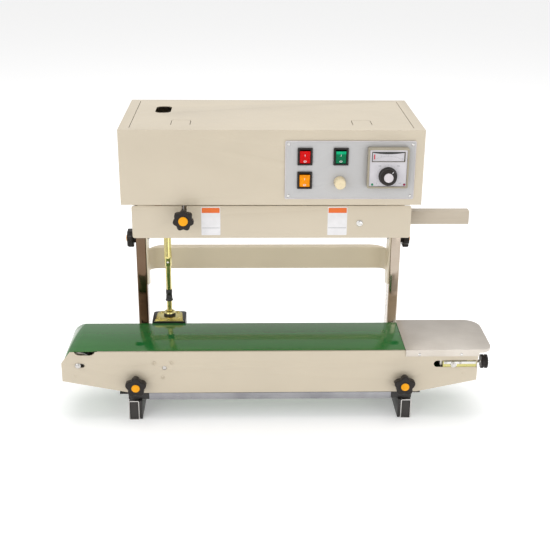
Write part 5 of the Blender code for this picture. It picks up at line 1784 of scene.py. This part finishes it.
@dataclass(frozen=True)
class Studio:
    """Pale floor, soft lights and the camera."""

    eye: tuple[float, float, float] = (-49.065, -1692.695, 952.133)
    yaw: float = 1.902
    pitch: float = 21.668
    roll: float = 0.568
    lens: float = 65.4545
    sensor: float = 36.0

    def build(self) -> None:
        """Sets the scene."""
        self.floor()
        self.world()
        self.lights()
        self.camera()

    def floor(self) -> None:
        """A wide pale floor."""
        Bench.clear()
        bpy.ops.mesh.primitive_plane_add(size=60, location=(0, 15, 0))
        floor = bpy.context.object
        floor.name = "studio_floor"
        board = NodeBoard("floor_paper", (0.93, 0.93, 0.93), 0.9)
        board.set("Emission Color", (1.0, 1.0, 1.0, 1.0))
        board.set("Emission Strength", 0.26)
        board.roughen(board.noise(3.0), 0.85, 0.95)
        floor.data.materials.append(board.material)

    def world(self) -> None:
        """Even white light from all round, a little dimmer low down."""
        world = bpy.data.worlds.new("studio_world")
        bpy.context.scene.world = world
        world.use_nodes = True
        nodes, links = world.node_tree.nodes, world.node_tree.links
        background = nodes["Background"]
        place = nodes.new("ShaderNodeTexCoord")
        split = nodes.new("ShaderNodeSeparateXYZ")
        ramp = nodes.new("ShaderNodeValToRGB")
        ramp.color_ramp.elements[0].position = 0.0
        ramp.color_ramp.elements[0].color = (0.72, 0.71, 0.70, 1)
        ramp.color_ramp.elements[1].position = 0.6
        ramp.color_ramp.elements[1].color = (1.0, 1.0, 1.0, 1)
        links.new(place.outputs["Generated"], split.inputs["Vector"])
        links.new(split.outputs["Z"], ramp.inputs["Fac"])
        links.new(ramp.outputs["Color"], background.inputs["Color"])
        background.inputs["Strength"].default_value = 0.70

    def light(self, name: str, place: Sequence[float], size: float, power: float) -> None:
        """A soft square light that looks at the machine's middle.

        Args:
            name: the light's name.
            place: where it hangs, in metres.
            size: its side.
            power: watts.
        """
        data = bpy.data.lights.new(name, "AREA")
        data.size = size
        data.energy = power
        lamp = bpy.data.objects.new(name, data)
        bpy.context.scene.collection.objects.link(lamp)
        lamp.location = place
        lamp.rotation_euler = (Vector((0, 0, 0.3)) - Vector(place)).to_track_quat("-Z", "Y").to_euler()

    def lights(self) -> None:
        """Two front lights and one overhead."""
        self.light("key_light", (-1.7, -2.3, 1.5), 1.6, 16.0)
        self.light("fill_light", (1.5, -2.6, 0.3), 1.8, 14.0)
        self.light("top_light", (0.2, 0.6, 2.8), 2.4, 44.0)

    def camera(self) -> None:
        """The camera in front of the machine, level with the top of the head."""
        yaw, pitch, roll = (math.radians(a) for a in (self.yaw, self.pitch, self.roll))
        forward = Vector(
            (math.sin(yaw) * math.cos(pitch), math.cos(yaw) * math.cos(pitch), -math.sin(pitch))
        )
        level = Vector((math.cos(yaw), -math.sin(yaw), 0))
        upright = level.cross(forward)
        right = level * math.cos(roll) + upright * math.sin(roll)
        up = upright * math.cos(roll) - level * math.sin(roll)
        data = bpy.data.cameras.new("studio_camera")
        data.lens = self.lens
        data.sensor_width = self.sensor
        data.clip_end = 100
        camera = bpy.data.objects.new("studio_camera", data)
        bpy.context.scene.collection.objects.link(camera)
        turn = Matrix((right, up, -forward)).transposed().to_4x4()
        camera.matrix_world = Matrix.Translation(DATUM.at(*self.eye)) @ turn
        bpy.context.scene.camera = camera
        bpy.context.scene.view_settings.view_transform = "Standard"


def star_knobs() -> list[StarKnob]:
    """The machine's five star knobs."""
    return [
        StarKnob("left_conveyor_knob", Axis.Y, -1, 20.0, 5, 9.0, scallop=0.23),
        StarKnob("right_conveyor_knob", Axis.Y, -1, 20.0, 5, 9.0, scallop=0.23),
        StarKnob("left_clamp_knob", Axis.X, -1, 19.0, 7, 27.0, -90.0, 4.0, 16.5),
        StarKnob("right_clamp_knob", Axis.X, 1, 19.0, 7, 27.0, 90.0, 4.0, 16.5),
        StarKnob("pressure_knob", Axis.Y, -1, 18.8, 7, 37.0, cap_radius=8.3),
    ]


def main() -> None:
    """Builds every sub-assembly in order."""
    logging.basicConfig(level=logging.INFO, format="%(name)s: %(message)s")
    Studio().build()
    assemblies = [Stand(), Conveyor(), DriveLine(), Head(), ControlPanel(), *star_knobs()]
    for assembly in assemblies:
        assembly.build()
        LOG.info("built %s", type(assembly).__name__)
    Bench.clear()


if __name__ == "__main__":
    main()
